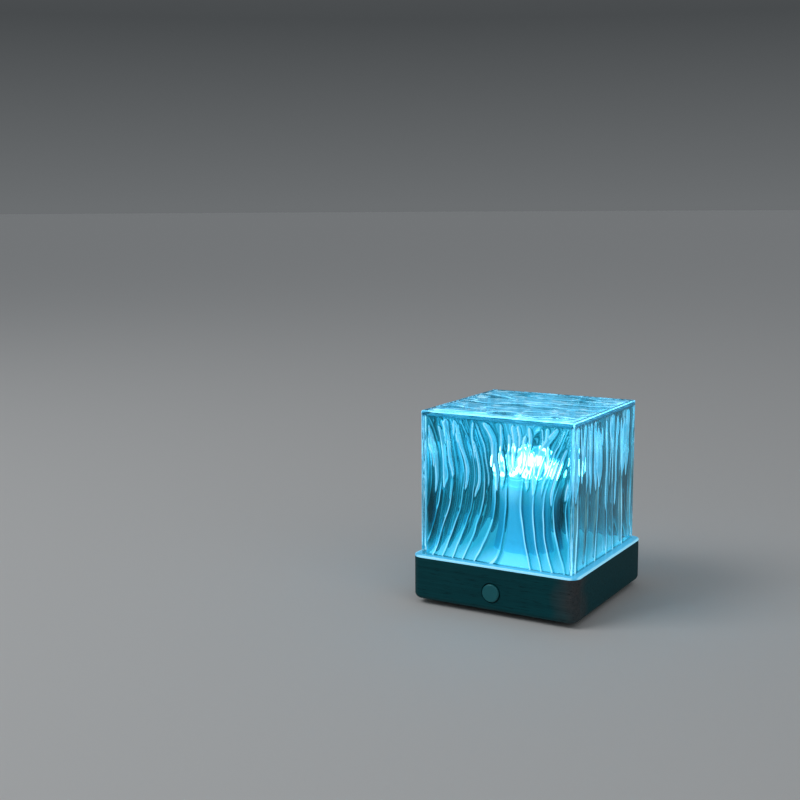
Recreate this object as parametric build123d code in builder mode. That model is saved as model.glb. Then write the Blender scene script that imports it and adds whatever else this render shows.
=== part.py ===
from build123d import *
from math import atan, cos, hypot, pi, radians, sin, sqrt, tan
import os

os.makedirs("parts", exist_ok=True)

# Northern lights projector: a clear rippled cube on a dark square base, with a lamp column inside.
# Millimetres, +Z up, the button side faces -Y, the origin is on the floor under the lamp's axis.

# Base
BASE_SIDE = 90.0
BASE_CORNER_R = 5.5
BASE_FILLET = 3.0
STAND_H = 2.5
SIDE_WALL = 5.0
TOP_WALL = 5.5
CORNER_BLOCK = 9.0
ROUTER_R = 3.0

# Bottom cover, its screws and the feet
COVER_RIM = 1.0
COVER_CORNER_R = 3.2
COVER_T = 2.0
FOOT_R = 5.0
FOOT_RECESS = 0.5
FOOT_INSET = 20.0
FOOT_BEVEL = 0.6
COVER_SCREW_HEAD_R = 2.4
COVER_SCREW_R = 1.2
COVER_SCREW_L = 10.0

# Light plate and clear cube
PLATE_T = 1.0
PLATE_EDGE = 0.25
CUBE_INSET = 3.8
CUBE_H = 74.0
CUBE_WALL = 2.2
CUBE_EDGE_R = 0.6

# Ripple ridges on the inside of the cube
RIDGE_W = 4.2
RIDGE_H = 1.3
RIDGE_ROOT = 0.4
RIDGE_PITCH = 6.0
RIDGE_START = 2.5
RIDGE_CORNER_GAP = 3.0
FOOT_LEAN = 8.2
FOOT_LEAN_SPLIT = 2.7
TOP_LEAN = 7.7
TOP_LEAN_SPLIT = 1.2
FRONT_BEND = 1.0
SIDE_BEND = 0.3
BEND_CHANGE = 0.12
WAIST_SIDE = 9.8
WAIST_HALF_GAP = 3.4
WAIST_H = 35.5
WAIST_SPLIT = 6.5
WAIST_H_CHANGE = 3.0
ROOF_RIDGE_PITCH = 6.8
ROOF_RIDGE_BOW = 2.6
RIDGE_WAVE = radians(100)

# Gear pair that turns the lens
MODULE = 0.6
RING_TEETH = 38
PINION_TEETH = 12
PRESSURE_ANGLE = radians(20)
TOOTH_THINNING = 0.06
RING_ADDENDUM = 0.3
DEDENDUM = 0.75
RING_WALL = 1.75
RING_H = 3.3
PINION_H = 2.8
PINION_LIFT = 0.8

# Gear motor
MOTOR_W = 12.0
MOTOR_D = 10.0
GEARBOX_L = 9.0
GEARBOX_PLATE_T = 1.0
GEARBOX_STEP = 0.5
CAN_L = 15.0
END_CAP_T = 1.2
TERMINAL_L = 2.0
TERMINAL_W = 1.6
TERMINAL_T = 0.4
TERMINAL_PITCH = 7.0
SHAFT_R = 1.5
SHAFT_FLAT = 0.5
SHAFT_OUT = 5.4
SHAFT_IN = 6.0
MOTOR_BOSS_R = 2.0
MOTOR_BOSS_H = 0.8
MOTOR_SCREW_EDGE = 1.5
MOTOR_SCREW_R = 0.8
MOTOR_SCREW_HEAD_R = 1.5
MOTOR_SCREW_L = 4.0

# Lamp column and lamp head
COLUMN_H = 32.5
COLUMN_WALL = 1.6
COLUMN_FLARE = 1.0
COLUMN_FLARE_H = 6.0
FLANGE_W = 6.8
FLANGE_T = 2.0
COLUMN_SCREWS = 4
COLUMN_SCREW_TURN = 45
COLUMN_SCREW_R = 1.1
COLUMN_SCREW_HEAD_R = 2.0
COLUMN_SCREW_HEAD_H = 1.4
COLUMN_SCREW_L = 5.5
HEAD_T = 1.6
HEAD_LIP_H = 3.0
HEAD_LIP_T = 1.2
CUP_WALL = 1.4
LEAD_HOLE_R = 1.5
LEAD_HOLE_OUT = 6.2

# Lens ring flange and dome
RING_FLANGE_T = 1.2
RING_SPIGOT_H = 1.0
RING_SPIGOT_T = 1.7
DOME_WALL = 1.5
DOME_STEPS = 4
DOME_CROWN = radians(80)
DOME_SIDES = 12

# Light source
SINK_STEM_R = 3.2
SINK_R = 8.8
SINK_T = 1.6
SINK_OVER_PINION = 0.5
SINK_SCREW_R = 1.0
SINK_SCREW_HEAD_R = 1.9
SINK_SCREW_HEAD_H = 1.3
SINK_SCREW_L = 4.5
LED_BOARD_R = 8.0
LED_BOARD_T = 1.2
LED_SIDE = 3.5
LED_T = 0.8
LED_LENS_R = 1.5
LED_LENS_H = 0.9
LED_LENS_BEVEL = 0.5
LED_PITCH = 4.4
LED_SCREW_OUT = 6.2
LED_SCREW_R = 0.8
LED_SCREW_HEAD_R = 1.4
LED_SCREW_HEAD_H = 0.9
LED_SCREW_L = 2.4

# Button and its switch
BUTTON_R = 4.5
BUTTON_PROUD = 1.0
BUTTON_DROP = 12.5
BUTTON_BEVEL = 0.5
BUTTON_HOLE_GAP = 0.6
BUTTON_FLANGE_W = 1.4
BUTTON_FLANGE_T = 1.2
BUTTON_STEM_R = 2.0
BUTTON_STEM_L = 0.8
BUTTON_TRAVEL = 0.6
BUSH_WALL = 2.3
BUSH_L = 2.5
PLUNGER_R = 1.75
PLUNGER_OUT = 1.9
PLUNGER_IN = 1.4
SWITCH_SIDE = 6.2
SWITCH_D = 3.8
SWITCH_BOARD_W = 22.0
SWITCH_BOARD_D = 10.0
SWITCH_BOARD_T = 1.2
SWITCH_SCREW_EDGE = 3.0

# Control board and charging socket
BOARD_W = 36.0
BOARD_D = 14.0
BOARD_T = 1.6
BOARD_SCREW_EDGE = 4.0
TONGUE_W = 13.0
USB_W = 8.94
USB_H = 3.26
USB_CORNER_R = 1.3
USB_L = 7.3
USB_SHELL_T = 0.3
USB_BACK_T = 2.0
USB_DROP = 12.9
USB_TONGUE_W = 6.7
USB_TONGUE_T = 0.7
USB_TONGUE_L = 4.4
USB_SKIN = 1.5
USB_POCKET_W = 15.0
USB_POCKET_H = 9.0
CHIP_W = 5.0
CHIP_D = 4.0
CHIP_T = 1.5
COIL_R = 2.6
COIL_H = 3.0
PLUG_W = 6.0
PLUG_D = 4.5
PLUG_H = 4.0
COMPONENT_PITCH = 10.5

# Screws and spacers of both boards
BOARD_SCREW_R = 1.0
BOARD_SCREW_HEAD_R = 1.9
BOARD_SCREW_HEAD_H = 1.3
BOARD_SCREW_BITE = 3.5
SPACER_R = 2.5

# Rechargeable cell and its cradle
CELL_R = 5.0
CELL_L = 43.0
CELL_NUB_R = 1.9
CELL_NUB_L = 1.0
CELL_BEVEL = 0.6
CRADLE_FLOOR = 0.4
CELL_HEADROOM = 0.7
CRADLE_T = 2.0
CRADLE_PITCH = 30.0
CRADLE_H = 4.0
CRADLE_SIDE = 1.6

# Clearances
LOOSE = 0.3
SNUG = 0.1
RUNNING = 0.08
SCREW_FIT = 0.05

# Solids that stand on their lower face
ON_FLAT = (Align.CENTER, Align.CENTER, Align.MIN)

# Levels and reaches that follow from the sizes above
under_flange = CRADLE_FLOOR + 2 * CELL_R + CELL_HEADROOM + COLUMN_SCREW_HEAD_H
housing_h = COVER_T + under_flange + FLANGE_T + TOP_WALL
housing_top = STAND_H + housing_h
cover_top = STAND_H + COVER_T
ceiling = housing_top - TOP_WALL
deck = housing_top + PLATE_T
base_half = BASE_SIDE / 2
cover_side = BASE_SIDE - 2 * (BASE_FILLET + COVER_RIM + LOOSE)
cube_side = BASE_SIDE - 2 * CUBE_INSET
foot_pitch = BASE_SIDE - 2 * FOOT_INSET
wall_inside = base_half - SIDE_WALL
screw_place = wall_inside - CORNER_BLOCK / 2
cavity = cube_side - 2 * CUBE_WALL
cavity_h = CUBE_H - CUBE_WALL

ring_pitch_r = MODULE * RING_TEETH / 2
pinion_pitch_r = MODULE * PINION_TEETH / 2
gear_distance = ring_pitch_r - pinion_pitch_r
ring_root_r = ring_pitch_r + DEDENDUM
ring_tip_r = ring_pitch_r - RING_ADDENDUM
pinion_tip_r = pinion_pitch_r + MODULE
pinion_root_r = pinion_pitch_r - DEDENDUM
ring_r = ring_root_r + RING_WALL
cup_r = ring_r + RUNNING
dome_bore_r = ring_r + LOOSE
dome_r = dome_bore_r + DOME_WALL

motor_screw_pitch = MOTOR_W - 2 * MOTOR_SCREW_EDGE
motor_reach = hypot(gear_distance + MOTOR_D / 2, MOTOR_W / 2)
column_bore_r = motor_reach + LOOSE
column_top_r = column_bore_r + COLUMN_WALL
column_foot_r = column_top_r + COLUMN_FLARE
flange_r = column_foot_r + FLANGE_W
column_screw_out = column_foot_r + FLANGE_W / 2
column_top = deck + COLUMN_H
flange_bottom = ceiling - FLANGE_T

head_floor = column_top + HEAD_T
ring_bottom = head_floor + LOOSE
ring_top = ring_bottom + RING_H
cup_top = ring_top - LOOSE
dome_seat = ring_top + RING_FLANGE_T
pinion_bottom = head_floor + PINION_LIFT
pinion_top = pinion_bottom + PINION_H
sink_bottom = pinion_top + SINK_OVER_PINION
sink_top = sink_bottom + SINK_T
led_board_top = sink_top + LED_BOARD_T
gearbox_bottom = column_top - GEARBOX_L
can_bottom = gearbox_bottom - CAN_L

button_z = housing_top - BUTTON_DROP
bush_r = BUTTON_R + BUSH_WALL
button_flange_r = BUTTON_R + BUTTON_FLANGE_W
button_flange_y = -wall_inside + SNUG
button_stem_y = button_flange_y + BUTTON_FLANGE_T
plunger_y = button_stem_y + BUTTON_STEM_L
switch_y = plunger_y + PLUNGER_OUT
switch_board_bottom = button_z + SWITCH_SIDE / 2
switch_board_top = switch_board_bottom + SWITCH_BOARD_T
switch_screw_y = switch_y + SWITCH_SCREW_EDGE
switch_screw_pitch = SWITCH_BOARD_W - 2 * SWITCH_SCREW_EDGE

usb_z = housing_top - USB_DROP
board_bottom = usb_z + USB_H / 2
board_top = board_bottom + BOARD_T
board_rear = wall_inside - LOOSE
board_centre_y = board_rear - BOARD_D / 2
tongue_rear = base_half - USB_SKIN - LOOSE
board_screw_y = board_rear - BOARD_D + BOARD_SCREW_EDGE
board_screw_pitch = BOARD_W - 2 * BOARD_SCREW_EDGE
usb_mouth = base_half - SNUG

cell_x = -(wall_inside - CRADLE_SIDE - LOOSE - CELL_R)
cell_z = cover_top + CRADLE_FLOOR + CELL_R


def involute(angle):
    return tan(angle) - angle


def flank_angle(radius, teeth, thinning):
    """Half the angle that a gear tooth takes up at a radius, from the involute of its base circle."""
    pitch_r = MODULE * teeth / 2
    base_r = pitch_r * cos(PRESSURE_ANGLE)
    roll = atan(sqrt(max((radius / base_r) ** 2 - 1, 0)))
    return pi / (2 * teeth) - thinning / (2 * pitch_r) + involute(PRESSURE_ANGLE) - involute(roll)


def on_circle(radius, angle):
    return (radius * cos(angle), radius * sin(angle))


def gear_outline(teeth, root_r, tip_r, thinning):
    """Lines of a gear whose first tooth points to +Y: root arc, flank, tip arc and flank of each tooth."""
    base_r = MODULE * teeth / 2 * cos(PRESSURE_ANGLE)
    start_r = max(root_r, base_r)
    middle_r = (start_r + tip_r) / 2
    step = 2 * pi / teeth
    low = flank_angle(start_r, teeth, thinning)
    middle = flank_angle(middle_r, teeth, thinning)
    high = flank_angle(tip_r, teeth, thinning)
    for tooth in range(teeth):
        axis = pi / 2 + tooth * step
        if start_r > root_r:
            Line(on_circle(root_r, axis - low), on_circle(start_r, axis - low))
            Line(on_circle(start_r, axis + low), on_circle(root_r, axis + low))
        ThreePointArc(
            on_circle(start_r, axis - low),
            on_circle(middle_r, axis - middle),
            on_circle(tip_r, axis - high),
        )
        ThreePointArc(on_circle(tip_r, axis - high), on_circle(tip_r, axis), on_circle(tip_r, axis + high))
        ThreePointArc(
            on_circle(tip_r, axis + high),
            on_circle(middle_r, axis + middle),
            on_circle(start_r, axis + low),
        )
        ThreePointArc(
            on_circle(root_r, axis + low),
            on_circle(root_r, axis + step / 2),
            on_circle(root_r, axis + step - low),
        )


def pan_screw(head_r, head_h, shank_r, length):
    """Pan-head screw that points up, with the underside of its head on the XY plane."""
    with BuildPart() as screw:
        Cylinder(head_r, head_h, align=(Align.CENTER, Align.CENTER, Align.MAX))
        chamfer(screw.edges().sort_by(Axis.Z)[0], head_h / 3)
        Cylinder(shank_r, length, align=ON_FLAT)
    return screw.part


def flat_screw(head_r, shank_r, length):
    """Countersunk screw that points up, with the top of its head on the XY plane."""
    with BuildPart() as screw:
        with BuildSketch(Plane.XZ):
            with BuildLine():
                Polyline(
                    (0, 0),
                    (head_r, 0),
                    (shank_r, head_r - shank_r),
                    (shank_r, length),
                    (0, length),
                    close=True,
                )
            make_face()
        revolve(axis=Axis.Z)
    return screw.part


# Housing: a block of dark stained wood, hollowed from below, with corner blocks left for the screws
with BuildPart() as housing:
    with BuildSketch(Plane.XY.offset(STAND_H)):
        RectangleRounded(BASE_SIDE, BASE_SIDE, BASE_CORNER_R)
    extrude(amount=housing_h)
    fillet(housing.faces().sort_by(Axis.Z)[0].edges(), BASE_FILLET)
    with BuildSketch(Plane.XY.offset(STAND_H)):
        RectangleRounded(cover_side + 2 * LOOSE, cover_side + 2 * LOOSE, COVER_CORNER_R + LOOSE)
    extrude(amount=COVER_T, mode=Mode.SUBTRACT)
    with BuildSketch(Plane.XY.offset(cover_top)) as pocket:
        Rectangle(2 * wall_inside, 2 * wall_inside)
        with GridLocations(2 * screw_place, 2 * screw_place, 2, 2):
            Rectangle(CORNER_BLOCK, CORNER_BLOCK, mode=Mode.SUBTRACT)
        fillet(pocket.vertices(), ROUTER_R)
    extrude(amount=ceiling - cover_top, mode=Mode.SUBTRACT)
    # Hole for the lamp column, and pilot holes for its flange
    with Locations((0, 0, housing_top)):
        Hole(column_foot_r + LOOSE, depth=TOP_WALL)
    with Locations(Plane((0, 0, ceiling), z_dir=(0, 0, -1))):
        with PolarLocations(column_screw_out, COLUMN_SCREWS, start_angle=COLUMN_SCREW_TURN):
            Hole(COLUMN_SCREW_R + SCREW_FIT, depth=COLUMN_SCREW_L - FLANGE_T + SCREW_FIT)
    # Pilot holes for the bottom cover and the two boards
    with Locations(Plane((0, 0, cover_top), z_dir=(0, 0, -1))):
        with GridLocations(2 * screw_place, 2 * screw_place, 2, 2):
            Hole(COVER_SCREW_R + SCREW_FIT, depth=COVER_SCREW_L - COVER_T + SCREW_FIT)
    with Locations((0, board_screw_y, ceiling)):
        with GridLocations(board_screw_pitch, 1, 2, 1):
            Cylinder(
                BOARD_SCREW_R + SCREW_FIT,
                BOARD_SCREW_BITE + SCREW_FIT,
                align=ON_FLAT,
                mode=Mode.SUBTRACT,
            )
    with Locations((0, switch_screw_y, ceiling)):
        with GridLocations(switch_screw_pitch, 1, 2, 1):
            Cylinder(
                BOARD_SCREW_R + SCREW_FIT,
                BOARD_SCREW_BITE + SCREW_FIT,
                align=ON_FLAT,
                mode=Mode.SUBTRACT,
            )
    # Stepped hole for the button and its bush, drilled from the front
    with Locations(Plane((0, -wall_inside, button_z), z_dir=(0, 1, 0))):
        CounterBoreHole(
            BUTTON_R + BUTTON_HOLE_GAP, bush_r + SNUG, counter_bore_depth=BUSH_L + SNUG, depth=SIDE_WALL
        )
    # Charging socket: a pocket from inside thins the wall, and a rounded slot goes through the rest
    with Locations((0, wall_inside, usb_z)):
        Box(
            USB_POCKET_W,
            2 * (SIDE_WALL - USB_SKIN),
            USB_POCKET_H,
            mode=Mode.SUBTRACT,
        )
    with BuildSketch(Plane((0, base_half, usb_z), x_dir=(1, 0, 0), z_dir=(0, 1, 0))):
        RectangleRounded(USB_W + 2 * LOOSE, USB_H + 2 * LOOSE, USB_CORNER_R + LOOSE)
    extrude(amount=-SIDE_WALL, mode=Mode.SUBTRACT)
housing.part.label = "housing"
export_step(housing.part, "parts/housing.step")

# Bottom cover: moulded plate in the housing's rebate, with foot recesses and a cradle for the cell
with BuildPart() as bottom_cover:
    with BuildSketch(Plane.XY.offset(STAND_H)):
        RectangleRounded(cover_side, cover_side, COVER_CORNER_R)
    extrude(amount=COVER_T)
    with Locations(Plane((0, 0, STAND_H), z_dir=(0, 0, -1))):
        with GridLocations(foot_pitch, foot_pitch, 2, 2):
            Hole(FOOT_R + SNUG, depth=FOOT_RECESS)
        with GridLocations(2 * screw_place, 2 * screw_place, 2, 2):
            CounterSinkHole(COVER_SCREW_R + LOOSE, COVER_SCREW_HEAD_R + SNUG, depth=COVER_T)
    with Locations((cell_x, 0, cover_top)):
        with GridLocations(1, CRADLE_PITCH, 1, 2):
            Box(
                2 * (CELL_R + SNUG + CRADLE_SIDE),
                CRADLE_T,
                CRADLE_H,
                align=ON_FLAT,
            )
    with Locations((cell_x, 0, cell_z)):
        Cylinder(CELL_R + SNUG, CRADLE_PITCH + 2 * CRADLE_T, rotation=(90, 0, 0), mode=Mode.SUBTRACT)
bottom_cover.part.label = "bottom_cover"
export_step(bottom_cover.part, "parts/bottom_cover.step")

# Cover screws: countersunk, driven from below into the corner blocks
cover_screw = flat_screw(COVER_SCREW_HEAD_R, COVER_SCREW_R, COVER_SCREW_L)
with BuildPart() as cover_screws:
    with Locations((0, 0, STAND_H)):
        with GridLocations(2 * screw_place, 2 * screw_place, 2, 2):
            add(cover_screw)
cover_screws.part.label = "cover_screws"
export_step(cover_screws.part, "parts/cover_screws.step")

# Rubber feet: soft round pads glued into the recesses of the bottom cover
foot_places = GridLocations(foot_pitch, foot_pitch, 2, 2).locations
for number, place in enumerate(foot_places, start=1):
    with BuildPart(Plane.XY) as rubber_foot:
        with Locations(place.position):
            Cylinder(FOOT_R, STAND_H + FOOT_RECESS, align=ON_FLAT)
        chamfer(rubber_foot.edges().sort_by(Axis.Z)[0], FOOT_BEVEL)
    rubber_foot.part.label = f"rubber_foot_{number}"
    export_step(rubber_foot.part, f"parts/rubber_foot_{number}.step")

# Light plate: thin acrylic sheet that carries light to its edges, with a hole for the column
with BuildPart() as glow_plate:
    with BuildSketch(Plane.XY.offset(housing_top)):
        RectangleRounded(BASE_SIDE, BASE_SIDE, BASE_CORNER_R)
        Circle(column_foot_r + LOOSE, mode=Mode.SUBTRACT)
    extrude(amount=PLATE_T)
    chamfer(glow_plate.faces().sort_by(Axis.Z)[-1].outer_wire().edges(), PLATE_EDGE)
glow_plate.part.label = "glow_plate"
export_step(glow_plate.part, "parts/glow_plate.step")


def ridge(wall, low, waist, high):
    """V-shaped ridge along an arc through three points of a wall, standing proud on its inner side."""
    with BuildPart() as strip:
        with BuildLine(wall) as line:
            ThreePointArc(low, waist, high)
        with BuildSketch(Plane(line.line @ 0, x_dir=-wall.z_dir, z_dir=line.line % 0)):
            with BuildLine():
                Polyline(
                    (-RIDGE_ROOT, -RIDGE_W / 2),
                    (0, -RIDGE_W / 2),
                    (RIDGE_H, 0),
                    (0, RIDGE_W / 2),
                    (-RIDGE_ROOT, RIDGE_W / 2),
                    close=True,
                )
            make_face()
        sweep(path=line.line)
    return strip.part


side_wall = Plane((0, -cavity / 2, deck), x_dir=(1, 0, 0), z_dir=(0, -1, 0))


def wall_ridges(bend):
    """Two groups of arcs on a side wall, which draw together at a waist and are straighter by the corners."""
    ridges = []
    for group in (-1, 1):
        room = cavity / 2 - group * WAIST_SIDE - WAIST_HALF_GAP - RIDGE_CORNER_GAP
        count = int(room / RIDGE_PITCH) + 1
        for place in range(count):
            wave = group + place * RIDGE_WAVE
            share = group * bend * (1 - place / count) * (1 + BEND_CHANGE * sin(wave))
            waist_x = WAIST_SIDE + group * (WAIST_HALF_GAP + place * RIDGE_PITCH)
            waist_z = WAIST_H - group * WAIST_SPLIT + WAIST_H_CHANGE * cos(wave)
            foot_x = waist_x + share * (FOOT_LEAN - group * FOOT_LEAN_SPLIT)
            top_x = waist_x + share * (TOP_LEAN + group * TOP_LEAN_SPLIT)
            ridges.append(
                ridge(side_wall, (foot_x, RIDGE_START), (waist_x, waist_z), (top_x, cavity_h + RIDGE_ROOT))
            )
    return ridges


# Ridges of the roof: shallow bows from side to side, bent to the front and to the back in turn
roof = Plane((0, 0, deck + cavity_h), x_dir=(1, 0, 0), z_dir=(0, 0, 1))
roof_reach = cavity / 2 + RIDGE_ROOT
roof_count = int(cavity / ROOF_RIDGE_PITCH)
roof_ridges = []
for place in range(roof_count):
    end_y = (place - (roof_count - 1) / 2) * ROOF_RIDGE_PITCH
    bow_y = end_y + ROOF_RIDGE_BOW * cos(place * RIDGE_WAVE)
    roof_ridges.append(ridge(roof, (-roof_reach, end_y), (0, bow_y), (roof_reach, end_y)))

# Clear cube: cast acrylic cover, smooth outside, with the ridges on the inside of its walls and roof
with BuildPart() as crystal_cover:
    with Locations((0, 0, deck)):
        Box(cube_side, cube_side, CUBE_H, align=ON_FLAT)
    fillet(crystal_cover.edges().filter_by(lambda edge: edge.center().Z > deck), CUBE_EDGE_R)
    with Locations((0, 0, deck)):
        Box(cavity, cavity, cavity_h, align=ON_FLAT, mode=Mode.SUBTRACT)
    add(roof_ridges)
    with PolarLocations(0, 2):
        add(wall_ridges(FRONT_BEND))
    with PolarLocations(0, 2, start_angle=90):
        add(wall_ridges(SIDE_BEND))
crystal_cover.part.label = "crystal_cover"
export_step(crystal_cover.part, "parts/crystal_cover.step")

# Lamp column: frosted tube with a flared foot, held by a flange under the housing's top wall
with BuildPart() as light_column:
    with BuildSketch(Plane.XZ):
        with BuildLine():
            Polyline(
                (column_bore_r, flange_bottom),
                (flange_r, flange_bottom),
                (flange_r, ceiling),
                (column_foot_r, ceiling),
                (column_foot_r, deck),
                (column_top_r, deck + COLUMN_FLARE_H),
                (column_top_r, column_top),
                (column_bore_r, column_top),
                close=True,
            )
        make_face()
    revolve(axis=Axis.Z)
    with Locations((0, 0, ceiling)):
        with PolarLocations(column_screw_out, COLUMN_SCREWS, start_angle=COLUMN_SCREW_TURN):
            Hole(COLUMN_SCREW_R + SNUG, depth=FLANGE_T)
light_column.part.label = "light_column"
export_step(light_column.part, "parts/light_column.step")

# Column screws: driven up through the flange into the housing's top wall
column_screw = pan_screw(COLUMN_SCREW_HEAD_R, COLUMN_SCREW_HEAD_H, COLUMN_SCREW_R, COLUMN_SCREW_L)
with BuildPart() as column_screws:
    with Locations((0, 0, flange_bottom)):
        with PolarLocations(column_screw_out, COLUMN_SCREWS, start_angle=COLUMN_SCREW_TURN):
            add(column_screw)
column_screws.part.label = "column_screws"
export_step(column_screws.part, "parts/column_screws.step")

# Lamp head: moulded cap on the column, with a cup for the lens ring and a lip that centres it
with BuildPart() as lamp_head:
    with BuildSketch(Plane.XY.offset(column_top)):
        Circle(max(column_top_r, cup_r + CUP_WALL))
    extrude(amount=HEAD_T)
    with BuildSketch(Plane.XY.offset(head_floor)):
        Circle(cup_r + CUP_WALL)
        Circle(cup_r, mode=Mode.SUBTRACT)
    extrude(amount=cup_top - head_floor)
    with BuildSketch(Plane.XY.offset(column_top)):
        Circle(column_bore_r - SNUG)
        Circle(column_bore_r - SNUG - HEAD_LIP_T, mode=Mode.SUBTRACT)
        with Locations((0, gear_distance)):
            Rectangle(MOTOR_W + 2 * LOOSE, 2 * column_bore_r, mode=Mode.SUBTRACT)
    extrude(amount=-HEAD_LIP_H)
    with Locations((0, gear_distance, head_floor)):
        Hole(MOTOR_BOSS_R + SNUG, depth=HEAD_T)
        with GridLocations(motor_screw_pitch, 1, 2, 1):
            CounterSinkHole(MOTOR_SCREW_R + SNUG, MOTOR_SCREW_HEAD_R + SNUG, depth=HEAD_T)
    with Locations((0, 0, head_floor)):
        Hole(SINK_SCREW_R + SNUG, depth=HEAD_T)
    with Locations((0, -LEAD_HOLE_OUT, head_floor)):
        Hole(LEAD_HOLE_R, depth=HEAD_T)
lamp_head.part.label = "lamp_head"
export_step(lamp_head.part, "parts/lamp_head.step")

# Lens ring: moulded ring with internal teeth, which runs in the head's cup and carries the dome
with BuildPart() as lens_ring:
    with BuildSketch(Plane.XY.offset(ring_bottom)):
        Circle(ring_r)
        with BuildLine():
            gear_outline(RING_TEETH, ring_tip_r, ring_root_r, -TOOTH_THINNING)
        make_face(mode=Mode.SUBTRACT)
    extrude(amount=RING_H)
    with BuildSketch(Plane.XY.offset(ring_top)):
        Circle(dome_r)
        Circle(ring_root_r, mode=Mode.SUBTRACT)
    extrude(amount=RING_FLANGE_T)
    with BuildSketch(Plane.XY.offset(dome_seat)):
        Circle(ring_r)
        Circle(ring_r - RING_SPIGOT_T, mode=Mode.SUBTRACT)
    extrude(amount=RING_SPIGOT_H)
lens_ring.part.label = "lens_ring"
export_step(lens_ring.part, "parts/lens_ring.step")


def dome_corners(radius, sides, turn):
    """Corners of a many-sided dome: rings of points on a half-globe, from its seat up to its crown."""
    latitudes = [step * DOME_CROWN / DOME_STEPS for step in range(DOME_STEPS + 1)]
    return [
        (*on_circle(radius * cos(latitude), turn + 2 * pi * side / sides), radius * sin(latitude))
        for latitude in latitudes
        for side in range(sides)
    ]


# Ripple dome: clear half-globe lens bonded over the ring's spigot. Two many-sided domes, one turned by
# half a side, cross to give the V-shaped flutes that bend the light.
with BuildPart() as ripple_dome:
    with Locations((0, 0, dome_seat)):
        ConvexPolyhedron(dome_corners(dome_r, DOME_SIDES, 0))
        ConvexPolyhedron(dome_corners(dome_r, DOME_SIDES, pi / DOME_SIDES))
        bore_corner_r = dome_bore_r / cos(pi / (2 * DOME_SIDES))
        ConvexPolyhedron(dome_corners(bore_corner_r, 2 * DOME_SIDES, 0), mode=Mode.SUBTRACT)
ripple_dome.part.label = "ripple_dome"
export_step(ripple_dome.part, "parts/ripple_dome.step")

# Drive pinion: small moulded gear on the motor's flatted shaft, inside the ring's teeth
with BuildPart() as drive_pinion:
    with BuildSketch(Plane((0, gear_distance, pinion_bottom))):
        with BuildLine():
            gear_outline(PINION_TEETH, pinion_root_r, pinion_tip_r, TOOTH_THINNING)
        make_face()
    extrude(amount=PINION_H)
    with BuildSketch(Plane((0, gear_distance, pinion_bottom))):
        Circle(SHAFT_R + SCREW_FIT)
        with Locations((0, SHAFT_R - SHAFT_FLAT + SCREW_FIT)):
            Rectangle(2 * SHAFT_R, SHAFT_R, align=(Align.CENTER, Align.MIN), mode=Mode.SUBTRACT)
    extrude(amount=PINION_H, mode=Mode.SUBTRACT)
drive_pinion.part.label = "drive_pinion"
export_step(drive_pinion.part, "parts/drive_pinion.step")

# Motor shaft: steel pin with a flat where the pinion sits
with BuildPart() as motor_shaft:
    with Locations((0, gear_distance, column_top - SHAFT_IN)):
        Cylinder(SHAFT_R, SHAFT_IN + SHAFT_OUT, align=ON_FLAT)
    with Locations((0, gear_distance + SHAFT_R - SHAFT_FLAT, pinion_bottom - LOOSE)):
        Box(
            2 * SHAFT_R,
            SHAFT_R,
            SHAFT_OUT,
            align=(Align.CENTER, Align.MIN, Align.MIN),
            mode=Mode.SUBTRACT,
        )
motor_shaft.part.label = "motor_shaft"
export_step(motor_shaft.part, "parts/motor_shaft.step")

# Gearbox: brass end plates round a closed block of gears, with a boss and bearing for the shaft
with BuildPart() as gearbox:
    with Locations((0, gear_distance, gearbox_bottom)):
        Box(
            MOTOR_W - 2 * GEARBOX_STEP,
            MOTOR_D - 2 * GEARBOX_STEP,
            GEARBOX_L,
            align=ON_FLAT,
        )
    with Locations((0, gear_distance, gearbox_bottom), (0, gear_distance, column_top - GEARBOX_PLATE_T)):
        Box(MOTOR_W, MOTOR_D, GEARBOX_PLATE_T, align=ON_FLAT)
    with Locations((0, gear_distance, column_top)):
        Cylinder(MOTOR_BOSS_R, MOTOR_BOSS_H, align=ON_FLAT)
    with Locations((0, gear_distance, column_top + MOTOR_BOSS_H)):
        Hole(SHAFT_R + RUNNING, depth=SHAFT_IN + MOTOR_BOSS_H + LOOSE)
    with Locations((0, gear_distance, column_top)):
        with GridLocations(motor_screw_pitch, 1, 2, 1):
            Hole(MOTOR_SCREW_R + SCREW_FIT, depth=MOTOR_SCREW_L - HEAD_T + SCREW_FIT)
gearbox.part.label = "gearbox"
export_step(gearbox.part, "parts/gearbox.step")

# Motor can: drawn steel tube with two flats
with BuildPart() as motor_can:
    with BuildSketch(Plane((0, gear_distance, can_bottom))):
        Circle(MOTOR_W / 2)
        Rectangle(MOTOR_W, MOTOR_D, mode=Mode.INTERSECT)
    extrude(amount=CAN_L)
motor_can.part.label = "motor_can"
export_step(motor_can.part, "parts/motor_can.step")

# Motor end cap: moulded cap with two solder tags
with BuildPart() as motor_end_cap:
    with BuildSketch(Plane((0, gear_distance, can_bottom))):
        Circle(MOTOR_W / 2 - GEARBOX_STEP)
        Rectangle(MOTOR_W, MOTOR_D - 2 * GEARBOX_STEP, mode=Mode.INTERSECT)
    extrude(amount=-END_CAP_T)
    with BuildSketch(Plane((0, gear_distance, can_bottom - END_CAP_T))):
        with GridLocations(TERMINAL_PITCH, 1, 2, 1):
            Rectangle(TERMINAL_T, TERMINAL_W)
    extrude(amount=-TERMINAL_L)
motor_end_cap.part.label = "motor_end_cap"
export_step(motor_end_cap.part, "parts/motor_end_cap.step")

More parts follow.
